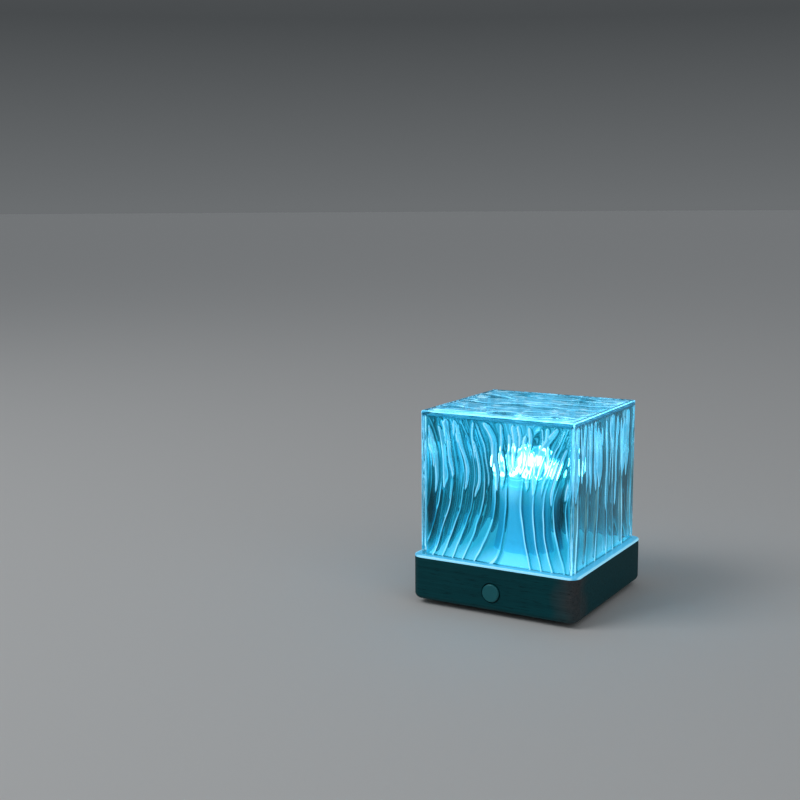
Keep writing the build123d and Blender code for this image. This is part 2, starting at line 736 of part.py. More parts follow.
# Motor screws: countersunk, driven down through the lamp head into the gearbox
motor_screw = flat_screw(MOTOR_SCREW_HEAD_R, MOTOR_SCREW_R, MOTOR_SCREW_L)
with BuildPart() as motor_screws:
    with Locations((0, gear_distance, head_floor)):
        with GridLocations(motor_screw_pitch, 1, 2, 1):
            add(motor_screw, rotation=(180, 0, 0))
motor_screws.part.label = "motor_screws"
export_step(motor_screws.part, "parts/motor_screws.step")

# Heat sink: turned aluminium post on the lamp head, with a disc over the pinion for the light source
with BuildPart() as heat_sink:
    with Locations((0, 0, head_floor)):
        Cylinder(SINK_STEM_R, sink_bottom - head_floor, align=ON_FLAT)
    with Locations((0, 0, sink_bottom)):
        Cylinder(SINK_R, SINK_T, align=ON_FLAT)
    with Locations(Plane((0, 0, head_floor), z_dir=(0, 0, -1))):
        Hole(SINK_SCREW_R + SCREW_FIT, depth=SINK_SCREW_L - HEAD_T + SCREW_FIT)
    with Locations((0, 0, sink_top)):
        with GridLocations(2 * LED_SCREW_OUT, 1, 2, 1):
            Hole(LED_SCREW_R + SCREW_FIT, depth=SINK_T)
    with Locations((0, -LEAD_HOLE_OUT, sink_top)):
        Hole(LEAD_HOLE_R, depth=SINK_T)
heat_sink.part.label = "heat_sink"
export_step(heat_sink.part, "parts/heat_sink.step")

# Heat sink screw: driven up through the lamp head into the post
heat_sink_screw_form = pan_screw(SINK_SCREW_HEAD_R, SINK_SCREW_HEAD_H, SINK_SCREW_R, SINK_SCREW_L)
with BuildPart() as heat_sink_screw:
    with Locations((0, 0, column_top)):
        add(heat_sink_screw_form)
heat_sink_screw.part.label = "heat_sink_screw"
export_step(heat_sink_screw.part, "parts/heat_sink_screw.step")

# Light board: round aluminium-core board on the heat sink, with a hole for its lead
with BuildPart() as led_board:
    with Locations((0, 0, sink_top)):
        Cylinder(LED_BOARD_R, LED_BOARD_T, align=ON_FLAT)
    with Locations((0, 0, led_board_top)):
        with GridLocations(2 * LED_SCREW_OUT, 1, 2, 1):
            Hole(LED_SCREW_R + SNUG, depth=LED_BOARD_T)
    with Locations((0, -LEAD_HOLE_OUT, led_board_top)):
        Hole(LEAD_HOLE_R, depth=LED_BOARD_T)
led_board.part.label = "led_board"
export_step(led_board.part, "parts/led_board.step")

# Light-emitting diodes: four square packages with round lenses
with BuildPart() as led_emitters:
    with Locations((0, 0, led_board_top)):
        with GridLocations(LED_PITCH, LED_PITCH, 2, 2):
            Box(LED_SIDE, LED_SIDE, LED_T, align=ON_FLAT)
    with Locations((0, 0, led_board_top + LED_T)):
        with GridLocations(LED_PITCH, LED_PITCH, 2, 2):
            Cylinder(LED_LENS_R, LED_LENS_H, align=ON_FLAT)
    chamfer(led_emitters.edges().group_by(Axis.Z)[-1], LED_LENS_BEVEL)
led_emitters.part.label = "led_emitters"
export_step(led_emitters.part, "parts/led_emitters.step")

# Light board screws: driven down into the heat sink
led_screw = pan_screw(LED_SCREW_HEAD_R, LED_SCREW_HEAD_H, LED_SCREW_R, LED_SCREW_L)
with BuildPart() as led_screws:
    with Locations((0, 0, led_board_top)):
        with GridLocations(2 * LED_SCREW_OUT, 1, 2, 1):
            add(led_screw, rotation=(180, 0, 0))
led_screws.part.label = "led_screws"
export_step(led_screws.part, "parts/led_screws.step")


def across(y):
    """Plane that faces the back of the lamp, centred on the button's axis."""
    return Plane((0, y, button_z), x_dir=(-1, 0, 0), z_dir=(0, 1, 0))


# Button cap: satin disc that stands proud of the front, with a flange that stops it behind the bush
with BuildPart() as button_cap:
    button_front = -base_half - BUTTON_PROUD
    with BuildSketch(across(button_front)):
        Circle(BUTTON_R)
    extrude(amount=button_stem_y - button_front)
    chamfer(button_cap.edges().sort_by(Axis.Y)[0], BUTTON_BEVEL)
    with BuildSketch(across(button_flange_y)):
        Circle(button_flange_r)
    extrude(amount=BUTTON_FLANGE_T)
    with BuildSketch(across(button_stem_y)):
        Circle(BUTTON_STEM_R)
    extrude(amount=BUTTON_STEM_L)
button_cap.part.label = "button_cap"
export_step(button_cap.part, "parts/button_cap.step")

# Button bush: moulded sleeve glued into the wall from inside, in which the button slides
with BuildPart() as button_bush:
    with BuildSketch(across(-wall_inside)):
        Circle(bush_r)
        Circle(BUTTON_R + RUNNING, mode=Mode.SUBTRACT)
    extrude(amount=-BUSH_L)
button_bush.part.label = "button_bush"
export_step(button_bush.part, "parts/button_bush.step")

# Switch plunger: springs the button back and closes the contact
with BuildPart() as switch_plunger:
    with BuildSketch(across(plunger_y)):
        Circle(PLUNGER_R)
    extrude(amount=PLUNGER_OUT + PLUNGER_IN)
switch_plunger.part.label = "switch_plunger"
export_step(switch_plunger.part, "parts/switch_plunger.step")

# Switch body: square side-acting push switch, soldered under its board
with BuildPart() as switch_body:
    with BuildSketch(across(switch_y)):
        Rectangle(SWITCH_SIDE, SWITCH_SIDE)
    extrude(amount=SWITCH_D)
    with BuildSketch(across(switch_y)):
        Circle(PLUNGER_R + SNUG)
    extrude(amount=PLUNGER_IN + BUTTON_TRAVEL + LOOSE, mode=Mode.SUBTRACT)
switch_body.part.label = "switch_body"
export_step(switch_body.part, "parts/switch_body.step")

# Switch board: small board hung from the housing's top wall
with BuildPart() as switch_board:
    with BuildSketch(Plane((0, switch_screw_y, switch_board_bottom))):
        with Locations((0, -SWITCH_SCREW_EDGE)):
            Rectangle(SWITCH_BOARD_W, SWITCH_BOARD_D, align=(Align.CENTER, Align.MIN))
        with GridLocations(switch_screw_pitch, 1, 2, 1):
            Circle(BOARD_SCREW_R + SNUG, mode=Mode.SUBTRACT)
    extrude(amount=SWITCH_BOARD_T)
switch_board.part.label = "switch_board"
export_step(switch_board.part, "parts/switch_board.step")

# Switch spacers and screws
with BuildPart() as switch_spacers:
    with BuildSketch(Plane((0, switch_screw_y, switch_board_top))):
        with GridLocations(switch_screw_pitch, 1, 2, 1):
            Circle(SPACER_R)
            Circle(BOARD_SCREW_R + SNUG, mode=Mode.SUBTRACT)
    extrude(amount=ceiling - switch_board_top)
switch_spacers.part.label = "switch_spacers"
export_step(switch_spacers.part, "parts/switch_spacers.step")

switch_screw = pan_screw(
    BOARD_SCREW_HEAD_R,
    BOARD_SCREW_HEAD_H,
    BOARD_SCREW_R,
    ceiling - switch_board_bottom + BOARD_SCREW_BITE,
)
with BuildPart() as switch_screws:
    with Locations((0, switch_screw_y, switch_board_bottom)):
        with GridLocations(switch_screw_pitch, 1, 2, 1):
            add(switch_screw)
switch_screws.part.label = "switch_screws"
export_step(switch_screws.part, "parts/switch_screws.step")

# Control board: hung from the top wall at the rear, with a tongue that reaches into the rear wall
with BuildPart() as control_board:
    with BuildSketch(Plane((0, 0, board_bottom))):
        with Locations((0, board_centre_y)):
            Rectangle(BOARD_W, BOARD_D)
        with Locations((0, board_rear)):
            Rectangle(TONGUE_W, tongue_rear - board_rear, align=(Align.CENTER, Align.MIN))
        with Locations((0, board_screw_y)):
            with GridLocations(board_screw_pitch, 1, 2, 1):
                Circle(BOARD_SCREW_R + SNUG, mode=Mode.SUBTRACT)
    extrude(amount=BOARD_T)
control_board.part.label = "control_board"
export_step(control_board.part, "parts/control_board.step")

# Control board parts on its underside: two chips, a coil and two lead connectors
with BuildPart() as board_components:
    with BuildSketch(Plane((0, board_screw_y, board_bottom))):
        with GridLocations(COMPONENT_PITCH, 1, 2, 1):
            Rectangle(CHIP_W, CHIP_D)
    extrude(amount=-CHIP_T)
    with BuildSketch(Plane((0, board_screw_y, board_bottom))):
        Circle(COIL_R)
    extrude(amount=-COIL_H)
    with BuildSketch(Plane((0, board_rear - PLUG_D, board_bottom))):
        with GridLocations(2 * COMPONENT_PITCH, 1, 2, 1):
            Rectangle(PLUG_W, PLUG_D)
    extrude(amount=-PLUG_H)
board_components.part.label = "board_components"
export_step(board_components.part, "parts/board_components.step")

# Control board spacers and screws
with BuildPart() as board_spacers:
    with BuildSketch(Plane((0, board_screw_y, board_top))):
        with GridLocations(board_screw_pitch, 1, 2, 1):
            Circle(SPACER_R)
            Circle(BOARD_SCREW_R + SNUG, mode=Mode.SUBTRACT)
    extrude(amount=ceiling - board_top)
board_spacers.part.label = "board_spacers"
export_step(board_spacers.part, "parts/board_spacers.step")

board_screw = pan_screw(
    BOARD_SCREW_HEAD_R,
    BOARD_SCREW_HEAD_H,
    BOARD_SCREW_R,
    ceiling - board_bottom + BOARD_SCREW_BITE,
)
with BuildPart() as board_screws:
    with Locations((0, board_screw_y, board_bottom)):
        with GridLocations(board_screw_pitch, 1, 2, 1):
            add(board_screw)
board_screws.part.label = "board_screws"
export_step(board_screws.part, "parts/board_screws.step")

# Charging socket: drawn steel shell soldered under the board's tongue, closed at the back
socket_plane = Plane((0, usb_mouth, usb_z), x_dir=(-1, 0, 0), z_dir=(0, 1, 0))
with BuildPart() as usb_shell:
    with BuildSketch(socket_plane):
        RectangleRounded(USB_W, USB_H, USB_CORNER_R)
    extrude(amount=-USB_L)
    with BuildSketch(socket_plane):
        RectangleRounded(USB_W - 2 * USB_SHELL_T, USB_H - 2 * USB_SHELL_T, USB_CORNER_R - USB_SHELL_T)
    extrude(amount=USB_BACK_T - USB_L, mode=Mode.SUBTRACT)
usb_shell.part.label = "usb_shell"
export_step(usb_shell.part, "parts/usb_shell.step")

# Socket tongue: moulded blade with the contacts, in the middle of the shell
with BuildPart() as usb_tongue:
    with BuildSketch(socket_plane.offset(USB_BACK_T - USB_L)):
        Rectangle(USB_TONGUE_W, USB_TONGUE_T)
    extrude(amount=USB_TONGUE_L)
usb_tongue.part.label = "usb_tongue"
export_step(usb_tongue.part, "parts/usb_tongue.step")

# Rechargeable cell: lies in the bottom cover's cradle, under the housing's top wall
with BuildPart() as battery_cell:
    cell_front = Plane((cell_x, -CELL_L / 2, cell_z), x_dir=(-1, 0, 0), z_dir=(0, 1, 0))
    with BuildSketch(cell_front):
        Circle(CELL_R)
    extrude(amount=CELL_L)
    chamfer(battery_cell.edges(), CELL_BEVEL)
    with BuildSketch(cell_front.offset(CELL_L)):
        Circle(CELL_NUB_R)
    extrude(amount=CELL_NUB_L)
battery_cell.part.label = "battery_cell"
export_step(battery_cell.part, "parts/battery_cell.step")
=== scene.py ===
from math import exp, floor, hypot, pi, radians, sin

import bpy
from mathutils import Matrix, Vector, noise


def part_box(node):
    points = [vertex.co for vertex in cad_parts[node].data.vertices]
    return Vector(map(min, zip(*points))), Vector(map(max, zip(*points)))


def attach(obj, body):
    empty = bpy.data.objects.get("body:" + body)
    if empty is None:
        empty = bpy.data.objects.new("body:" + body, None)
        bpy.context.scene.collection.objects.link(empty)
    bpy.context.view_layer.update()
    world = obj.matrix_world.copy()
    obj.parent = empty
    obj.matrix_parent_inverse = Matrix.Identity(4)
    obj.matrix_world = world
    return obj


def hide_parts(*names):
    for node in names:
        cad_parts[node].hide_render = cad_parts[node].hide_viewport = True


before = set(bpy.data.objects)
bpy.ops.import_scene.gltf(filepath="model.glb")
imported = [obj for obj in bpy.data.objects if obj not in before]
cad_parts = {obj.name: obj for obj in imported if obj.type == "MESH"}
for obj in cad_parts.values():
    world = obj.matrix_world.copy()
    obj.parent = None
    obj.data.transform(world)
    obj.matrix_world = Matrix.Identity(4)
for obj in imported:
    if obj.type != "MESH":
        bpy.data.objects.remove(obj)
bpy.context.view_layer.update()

# Housing: a square block of beech, hollowed from below, with its lower edge rounded over.
# The wood is stained slate-dark and left matt, so the grain shows as faint streaks along the front
# and as pores on the two ends. Its teal cast is painted, standing in for the lamp's cyan light on the dark
# stain.
# Towards the near right corner the stain turns warmer and a little paler, without that cast.
MM = 0.001
GRAIN_L, GRAIN_W = 45 * MM, 1.3 * MM
PORE_L, PORE_W, PORE_DEPTH = 7 * MM, 0.5 * MM, 0.08 * MM
WARM_CORNER = (1.0, -1.0, 0.0)
WARM_START, WARM_END = 96 * MM, 114 * MM
WARM_PATCH, WARM_WANDER = 25 * MM, 40 * MM


def linear(hex_code):
    """Linear colour of an sRGB hex value, with full opacity."""
    shares = [int(hex_code[place:place + 2], 16) / 255 for place in (1, 3, 5)]
    return (*(s / 12.92 if s <= 0.04045 else ((s + 0.055) / 1.055) ** 2.4 for s in shares), 1.0)


def add_node(tree, kind, inputs=None, stops=None, **settings):
    """Adds a node to a tree, with its settings, its inputs' values or links, and any colour stops."""
    node = tree.nodes.new(kind)
    for name, value in settings.items():
        setattr(node, name, value)
    for socket, value in (inputs or {}).items():
        if isinstance(value, bpy.types.NodeSocket):
            tree.links.new(value, node.inputs[socket])
        else:
            node.inputs[socket].default_value = value
    if stops:
        elements = node.color_ramp.elements
        while len(elements) < len(stops):
            elements.new(1)
        for element, (place, hex_code) in zip(elements, stops):
            element.position = place
            element.color = linear(hex_code)
    return node


def start_material(name):
    """New node material. Returns it with its node tree and the piece's own coordinates."""
    material = bpy.data.materials.new(name)
    material.use_nodes = True
    material.node_tree.nodes.clear()
    place = add_node(material.node_tree, "ShaderNodeTexCoord").outputs["Object"]
    return material, material.node_tree, place


def end_material(tree, inputs):
    """Gives the material its shader with these inputs, and its output."""
    shader = add_node(tree, "ShaderNodeBsdfPrincipled", inputs)
    add_node(tree, "ShaderNodeOutputMaterial", {"Surface": shader.outputs["BSDF"]})


def dress(material, *nodes):
    """Gives CAD nodes a material."""
    for node in nodes:
        for material_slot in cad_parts[node].material_slots:
            material_slot.material = material


stained_beech, tree, place = start_material("stained_beech")
grain_place = add_node(
    tree, "ShaderNodeMapping", {"Vector": place, "Scale": (1 / GRAIN_L, 1 / GRAIN_W, 1 / GRAIN_W)}
)
grain = add_node(
    tree, "ShaderNodeTexNoise",
    {
        "Vector": grain_place.outputs["Vector"],
        "Scale": 1.0,
        "Detail": 5.0,
        "Roughness": 0.55,
        "Distortion": 0.4,
    },
)
pore_place = add_node(
    tree, "ShaderNodeMapping", {"Vector": place, "Scale": (1 / PORE_L, 1 / PORE_W, 1 / PORE_W)}
)
pores = add_node(
    tree, "ShaderNodeTexNoise", {"Vector": pore_place.outputs["Vector"], "Scale": 1.0, "Detail": 2.0}
)
# Towards the near right corner the stain turns warmer and paler, over a wandering border.
warmth = add_node(tree, "ShaderNodeTexNoise", {"Vector": place, "Scale": 1 / WARM_PATCH, "Detail": 2.0})
corner_reach = add_node(tree, "ShaderNodeVectorMath", {0: place, 1: WARM_CORNER}, operation="DOT_PRODUCT")
warm_reach = add_node(
    tree, "ShaderNodeMath",
    {0: warmth.outputs["Fac"], 1: WARM_WANDER, 2: corner_reach.outputs["Value"]}, operation="MULTIPLY_ADD",
)
# Painted cyan light: the stain's teal cast stands in for the lamp's light on the dark wood.
stain_with_painted_cyan = add_node(
    tree, "ShaderNodeValToRGB", {"Fac": grain.outputs["Fac"]},
    stops=((0.30, "#034148"), (0.50, "#04474e"), (0.66, "#064c53"), (0.80, "#085259")),
)
warm_stain = add_node(
    tree, "ShaderNodeValToRGB", {"Fac": grain.outputs["Fac"]},
    stops=((0.30, "#464143"), (0.50, "#4f4647"), (0.66, "#584c4b"), (0.80, "#615350")),
)
warm_share = add_node(
    tree, "ShaderNodeMapRange",
    {"Value": warm_reach.outputs["Value"], "From Min": WARM_START, "From Max": WARM_END},
)
stain_mix_with_painted_cyan = add_node(
    tree, "ShaderNodeMixRGB",
    {
        "Fac": warm_share.outputs["Result"],
        "Color1": stain_with_painted_cyan.outputs["Color"],
        "Color2": warm_stain.outputs["Color"],
    },
)
pore_dark = add_node(
    tree, "ShaderNodeValToRGB", {"Fac": pores.outputs["Fac"]}, stops=((0.30, "#a6a6a6"), (0.42, "#ffffff"))
)
wood = add_node(
    tree, "ShaderNodeMixRGB",
    {"Fac": 1.0, "Color1": stain_mix_with_painted_cyan.outputs["Color"], "Color2": pore_dark.outputs["Color"]},
    blend_type="MULTIPLY",
)
sheen = add_node(
    tree, "ShaderNodeMapRange", {"Value": grain.outputs["Fac"], "To Min": 0.62, "To Max": 0.48}
)
relief = add_node(
    tree, "ShaderNodeBump", {"Height": pores.outputs["Fac"], "Strength": 0.35, "Distance": PORE_DEPTH}
)
end_material(
    tree,
    {
        "Base Color": wood.outputs["Color"],
        "Roughness": sheen.outputs["Result"],
        "Specular IOR Level": 0.12,
        "Normal": relief.outputs["Normal"],
    },
)
dress(stained_beech, "housing")

# Bottom cover: a plate of black ABS in the housing's rebate, which carries the cell's cradle and the feet.
# It is moulded with a spark-eroded texture that looks dull, drawn coarser than it is. The button's bush,
# the motor's end cap, the switch and the socket's tongue are black mouldings too.
ABS_GRIT, ABS_GRIT_DEPTH = 0.5 * MM, 0.05 * MM


def mottled(name, patch, detail, tones, finish, relief=None):
    """New material that drifts between tones in patches of a size, with any relief's strength and depth."""
    material, tree, place = start_material(name)
    pattern = add_node(tree, "ShaderNodeTexNoise", {"Vector": place, "Scale": 1 / patch, "Detail": detail})
    shade = add_node(tree, "ShaderNodeValToRGB", {"Fac": pattern.outputs["Fac"]}, stops=tones)
    inputs = {"Base Color": shade.outputs["Color"], **finish}
    if relief:
        strength, depth = relief
        bump = add_node(
            tree, "ShaderNodeBump",
            {"Height": pattern.outputs["Fac"], "Strength": strength, "Distance": depth},
        )
        inputs["Normal"] = bump.outputs["Normal"]
    end_material(tree, inputs)
    return material


black_abs = mottled(
    "textured_black_abs", ABS_GRIT, 3.0, ((0.35, "#121314"), (0.7, "#1e2021")), {"Roughness": 0.55},
    relief=(0.4, ABS_GRIT_DEPTH),
)
dress(
    black_abs, "bottom_cover", "button_bush", "motor_end_cap", "switch_body", "switch_plunger", "usb_tongue"
)

# Rubber feet: four soft pads of black rubber, moulded and glued into the cover.
# They are matt, and dust leaves paler patches on them.
DUST_PATCH = 1.5 * MM
rubber = mottled(
    "matt_rubber", DUST_PATCH, 5.0, ((0.4, "#17181a"), (0.75, "#2b2c2d")), {"Roughness": 0.85}
)
dress(rubber, "rubber_foot_1", "rubber_foot_2", "rubber_foot_3", "rubber_foot_4")

# Screws: zinc-plated steel, driven into the wood, the post, the gearbox and the boards' spacers.
# The plating is bright but cloudy, so the gloss changes from spot to spot.
CLOUD_PATCH = 0.8 * MM
screw_steel, tree, place = start_material("zinc_plated_steel")
cloud = add_node(tree, "ShaderNodeTexNoise", {"Vector": place, "Scale": 1 / CLOUD_PATCH, "Detail": 4.0})
shade = add_node(
    tree, "ShaderNodeValToRGB", {"Fac": cloud.outputs["Fac"]}, stops=((0.3, "#9a9da0"), (0.7, "#c3c6c9"))
)
dull = add_node(tree, "ShaderNodeMapRange", {"Value": cloud.outputs["Fac"], "To Min": 0.25, "To Max": 0.5})
end_material(
    tree, {"Base Color": shade.outputs["Color"], "Metallic": 1.0, "Roughness": dull.outputs["Result"]}
)
dress(
    screw_steel, "cover_screws", "column_screws", "heat_sink_screw", "led_screws", "board_screws",
    "switch_screws", "motor_screws",
)

# Light plate: a thin sheet of acrylic, cut square and laid on the housing, lit from below and round its edge.
# Light runs along inside it: it is palest under the cube, deeper blue where it shows round the cube,
# and leaves at the rim as a pale line.
HAZE_PATCH, HAZE_SHARE = 9 * MM, 0.02
GLOW_REACH = 1.1
plate_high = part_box("glow_plate")[1]
edge_lit_acrylic, tree, place = start_material("edge_lit_acrylic")
axes = add_node(tree, "ShaderNodeSeparateXYZ", {"Vector": place})
across = add_node(tree, "ShaderNodeMath", {0: axes.outputs["X"]}, operation="ABSOLUTE")
along = add_node(tree, "ShaderNodeMath", {0: axes.outputs["Y"]}, operation="ABSOLUTE")
outward = add_node(
    tree, "ShaderNodeMath", {0: across.outputs["Value"], 1: along.outputs["Value"]}, operation="MAXIMUM"
)
reach = add_node(
    tree, "ShaderNodeMapRange",
    {"Value": outward.outputs["Value"], "From Min": 0.0, "From Max": GLOW_REACH * plate_high.x},
)
haze = add_node(tree, "ShaderNodeTexNoise", {"Vector": place, "Scale": 1 / HAZE_PATCH, "Detail": 3.0})
spread = add_node(
    tree, "ShaderNodeMath",
    {0: haze.outputs["Fac"], 1: HAZE_SHARE, 2: reach.outputs["Result"]}, operation="MULTIPLY_ADD",
)
glow = add_node(
    tree, "ShaderNodeValToRGB", {"Fac": spread.outputs["Value"]},
    stops=(
        (0.36, "#b4d8ec"), (0.70, "#dae2f4"), (0.80, "#cce0f0"),
        (0.82, "#3c9ec6"), (0.900, "#54b2da"), (0.912, "#8ad6f4"),
    ),
)
end_material(
    tree,
    {
        "Base Color": glow.outputs["Color"],
        "Roughness": 0.25,
        "Emission Color": glow.outputs["Color"],
        "Emission Strength": 0.7,
    },
)
dress(edge_lit_acrylic, "glow_plate")

# Lamp column: a moulded tube of frosted polycarbonate, flared at the foot and held by a flange under the
# housing's top. It glows from inside, palest under the lamp head, where it meets the plate, and at the
# front, clear of the motor.
FROST_PATCH, FROST_SHARE = 4 * MM, 0.08
FRONT_START, FRONT_END, FRONT_SHARE = -6 * MM, -14 * MM, 0.85
column_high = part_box("light_column")[1]
frosted_tube, tree, place = start_material("frosted_polycarbonate")
axes = add_node(tree, "ShaderNodeSeparateXYZ", {"Vector": place})
height = add_node(
    tree, "ShaderNodeMapRange",
    {"Value": axes.outputs["Z"], "From Min": plate_high.z, "From Max": column_high.z},
)
frost = add_node(tree, "ShaderNodeTexNoise", {"Vector": place, "Scale": 1 / FROST_PATCH, "Detail": 4.0})
level = add_node(
    tree, "ShaderNodeMath",
    {0: frost.outputs["Fac"], 1: FROST_SHARE, 2: height.outputs["Result"]}, operation="MULTIPLY_ADD",
)
glow = add_node(
    tree, "ShaderNodeValToRGB", {"Fac": level.outputs["Value"]},
    stops=((0.02, "#86c4e0"), (0.25, "#3aa2c2"), (0.5, "#1a92ae"), (0.80, "#a8cce2"), (1.0, "#f0ecff")),
)
front = add_node(
    tree, "ShaderNodeMapRange",
    {"Value": axes.outputs["Y"], "From Min": FRONT_START, "From Max": FRONT_END, "To Max": FRONT_SHARE},
)
glow = add_node(
    tree, "ShaderNodeMixRGB",
    {"Fac": front.outputs["Result"], "Color1": glow.outputs["Color"], "Color2": linear("#8ccaea")},
    blend_type="LIGHTEN",
)
end_material(
    tree,
    {
        "Base Color": glow.outputs["Color"],
        "Roughness": 0.5,
        "Emission Color": glow.outputs["Color"],
        "Emission Strength": 0.5,
    },
)
dress(frosted_tube, "light_column")

# Lamp head, lens ring and pinion: white acetal mouldings that carry and drive the turning lens.
# The lamp inside lights them through, so they look pale blue.
FLOW_PATCH = 5 * MM
lit_acetal, tree, place = start_material("lit_white_acetal")
flow = add_node(tree, "ShaderNodeTexNoise", {"Vector": place, "Scale": 1 / FLOW_PATCH, "Detail": 3.0})
glow = add_node(
    tree, "ShaderNodeValToRGB", {"Fac": flow.outputs["Fac"]}, stops=((0.35, "#8fd8f6"), (0.65, "#c2edfd"))
)
end_material(
    tree,
    {
        "Base Color": linear("#e8eef0"),
        "Roughness": 0.4,
        "Emission Color": glow.outputs["Color"],
        "Emission Strength": 0.7,
    },
)
dress(lit_acetal, "lamp_head", "lens_ring", "drive_pinion")

# Gear motor: a drawn steel can under a stamped brass gearbox, with a turned shaft that carries the pinion.
# The steel shows upright draw lines, coarser than real ones, and the brass is a little tarnished.
# The charging socket's shell is drawn from the same steel.
DRAW_LINE_W, DRAW_LINE_L = 0.3 * MM, 12 * MM
TARNISH_PATCH = 2.5 * MM
drawn_steel, tree, place = start_material("drawn_steel")
line_place = add_node(
    tree, "ShaderNodeMapping",
    {"Vector": place, "Scale": (1 / DRAW_LINE_W, 1 / DRAW_LINE_W, 1 / DRAW_LINE_L)},
)
lines = add_node(
    tree, "ShaderNodeTexNoise", {"Vector": line_place.outputs["Vector"], "Scale": 1.0, "Detail": 3.0}
)
shade = add_node(
    tree, "ShaderNodeValToRGB", {"Fac": lines.outputs["Fac"]}, stops=((0.3, "#85888b"), (0.7, "#b4b7ba"))
)
end_material(tree, {"Base Color": shade.outputs["Color"], "Metallic": 1.0, "Roughness": 0.35})
dress(drawn_steel, "motor_can", "motor_shaft", "usb_shell")

brass = mottled(
    "stamped_brass", TARNISH_PATCH, 4.0, ((0.3, "#8f6f34"), (0.7, "#c9a355")),
    {"Metallic": 1.0, "Roughness": 0.38},
)
dress(brass, "gearbox")

# Heat sink: a turned aluminium post and disc that holds the light board over the pinion.
# Tool marks run round it as paler and darker rings, drawn wider than real ones. Blender's wave pattern runs
# through 20 radians in each unit of its scale.
RING_PITCH = 0.7 * pi * MM
WAVE_RADIANS = 20
turned_aluminium, tree, place = start_material("turned_aluminium")
rings = add_node(
    tree, "ShaderNodeTexWave",
    {"Vector": place, "Scale": 2 * pi / (WAVE_RADIANS * RING_PITCH), "Distortion": 0.6},
    wave_type="RINGS", rings_direction="Z",
)
shade = add_node(
    tree, "ShaderNodeValToRGB", {"Fac": rings.outputs["Fac"]}, stops=((0.2, "#a9acae"), (0.8, "#cfd2d4"))
)
end_material(tree, {"Base Color": shade.outputs["Color"], "Metallic": 1.0, "Roughness": 0.32})
dress(turned_aluminium, "heat_sink")

# Boards: glass epoxy under glossy solder mask, white below the light source and green on the two others.
# Paler tracks show through the green. The parts on the control board are black epoxy packages, and
# both green boards stand on white nylon spacers.
MASK_PATCH, TRACK_CELL = 1.2 * MM, 3.3 * MM
EPOXY_GRAIN, NYLON_PATCH = 0.25 * MM, 2 * MM
# The white board has a painted glow, as if lit by the light source on it.
white_mask_painted_glow = mottled(
    "white_solder_mask_painted_glow", MASK_PATCH, 3.0, ((0.3, "#dfe8ea"), (0.7, "#f5fafb")),
    {"Roughness": 0.3, "Emission Color": linear("#d5f3ff"), "Emission Strength": 1.0},
)
dress(white_mask_painted_glow, "led_board")

green_mask, tree, place = start_material("green_solder_mask")
cells = add_node(
    tree, "ShaderNodeTexVoronoi", {"Vector": place, "Scale": 1 / TRACK_CELL}, distance="MANHATTAN"
)
shade = add_node(
    tree, "ShaderNodeValToRGB", {"Fac": cells.outputs["Distance"]},
    stops=((0.30, "#0d3d24"), (0.45, "#15573a"), (0.50, "#0d3d24")),
)
end_material(tree, {"Base Color": shade.outputs["Color"], "Roughness": 0.3, "Coat Weight": 0.3})
dress(green_mask, "control_board", "switch_board")

component_black = mottled(
    "epoxy_package", EPOXY_GRAIN, 2.0, ((0.3, "#16171a"), (0.7, "#26282b")), {"Roughness": 0.6}
)
dress(component_black, "board_components")

white_nylon = mottled(
    "white_nylon", NYLON_PATCH, 3.0, ((0.3, "#d6d5cf"), (0.7, "#ecebe6")), {"Roughness": 0.5}
)
dress(white_nylon, "board_spacers", "switch_spacers")

# Rechargeable cell: a steel can in a blue heat-shrink sleeve, held in the bottom cover's cradle.
# The sleeve is glossy and wrinkled a little.
WRINKLE, WRINKLE_DEPTH = 3 * MM, 0.1 * MM
cell_sleeve = mottled(
    "heat_shrink_sleeve", WRINKLE, 4.0, ((0.3, "#173f73"), (0.7, "#235a9c")), {"Roughness": 0.28},
    relief=(0.3, WRINKLE_DEPTH),
)
dress(cell_sleeve, "battery_cell")

# Light-emitting diodes: ceramic packages with clear lenses, soldered to the white board.
# They are the white-hot heart of the lamp.
DIE_PATCH = 0.9 * MM
diode_lens, tree, place = start_material("lit_diode")
die = add_node(tree, "ShaderNodeTexNoise", {"Vector": place, "Scale": 1 / DIE_PATCH, "Detail": 1.0})
glow = add_node(
    tree, "ShaderNodeValToRGB", {"Fac": die.outputs["Fac"]}, stops=((0.3, "#d9f6ff"), (0.6, "#ffffff"))
)
end_material(
    tree,
    {
        "Base Color": glow.outputs["Color"],
        "Roughness": 0.2,
        "Emission Color": glow.outputs["Color"],
        "Emission Strength": 6.0,
    },
)
dress(diode_lens, "led_emitters")

# Button: a disc of aluminium, blasted and anodised, that stands a little proud of the front.
# It slides in a bush behind the wood. Its satin skin spreads the light, so it looks even and soft.
BLAST_GRIT, BLAST_DEPTH = 0.25 * MM, 0.03 * MM
# Its teal is painted, standing in for the lamp's cyan light on the grey metal.
satin_button = mottled(
    "satin_anodised_aluminium", BLAST_GRIT, 3.0, ((0.3, "#0b666e"), (0.7, "#10727a")),
    {"Metallic": 0.2, "Roughness": 0.45}, relief=(0.25, BLAST_DEPTH),
)
dress(satin_button, "button_cap")

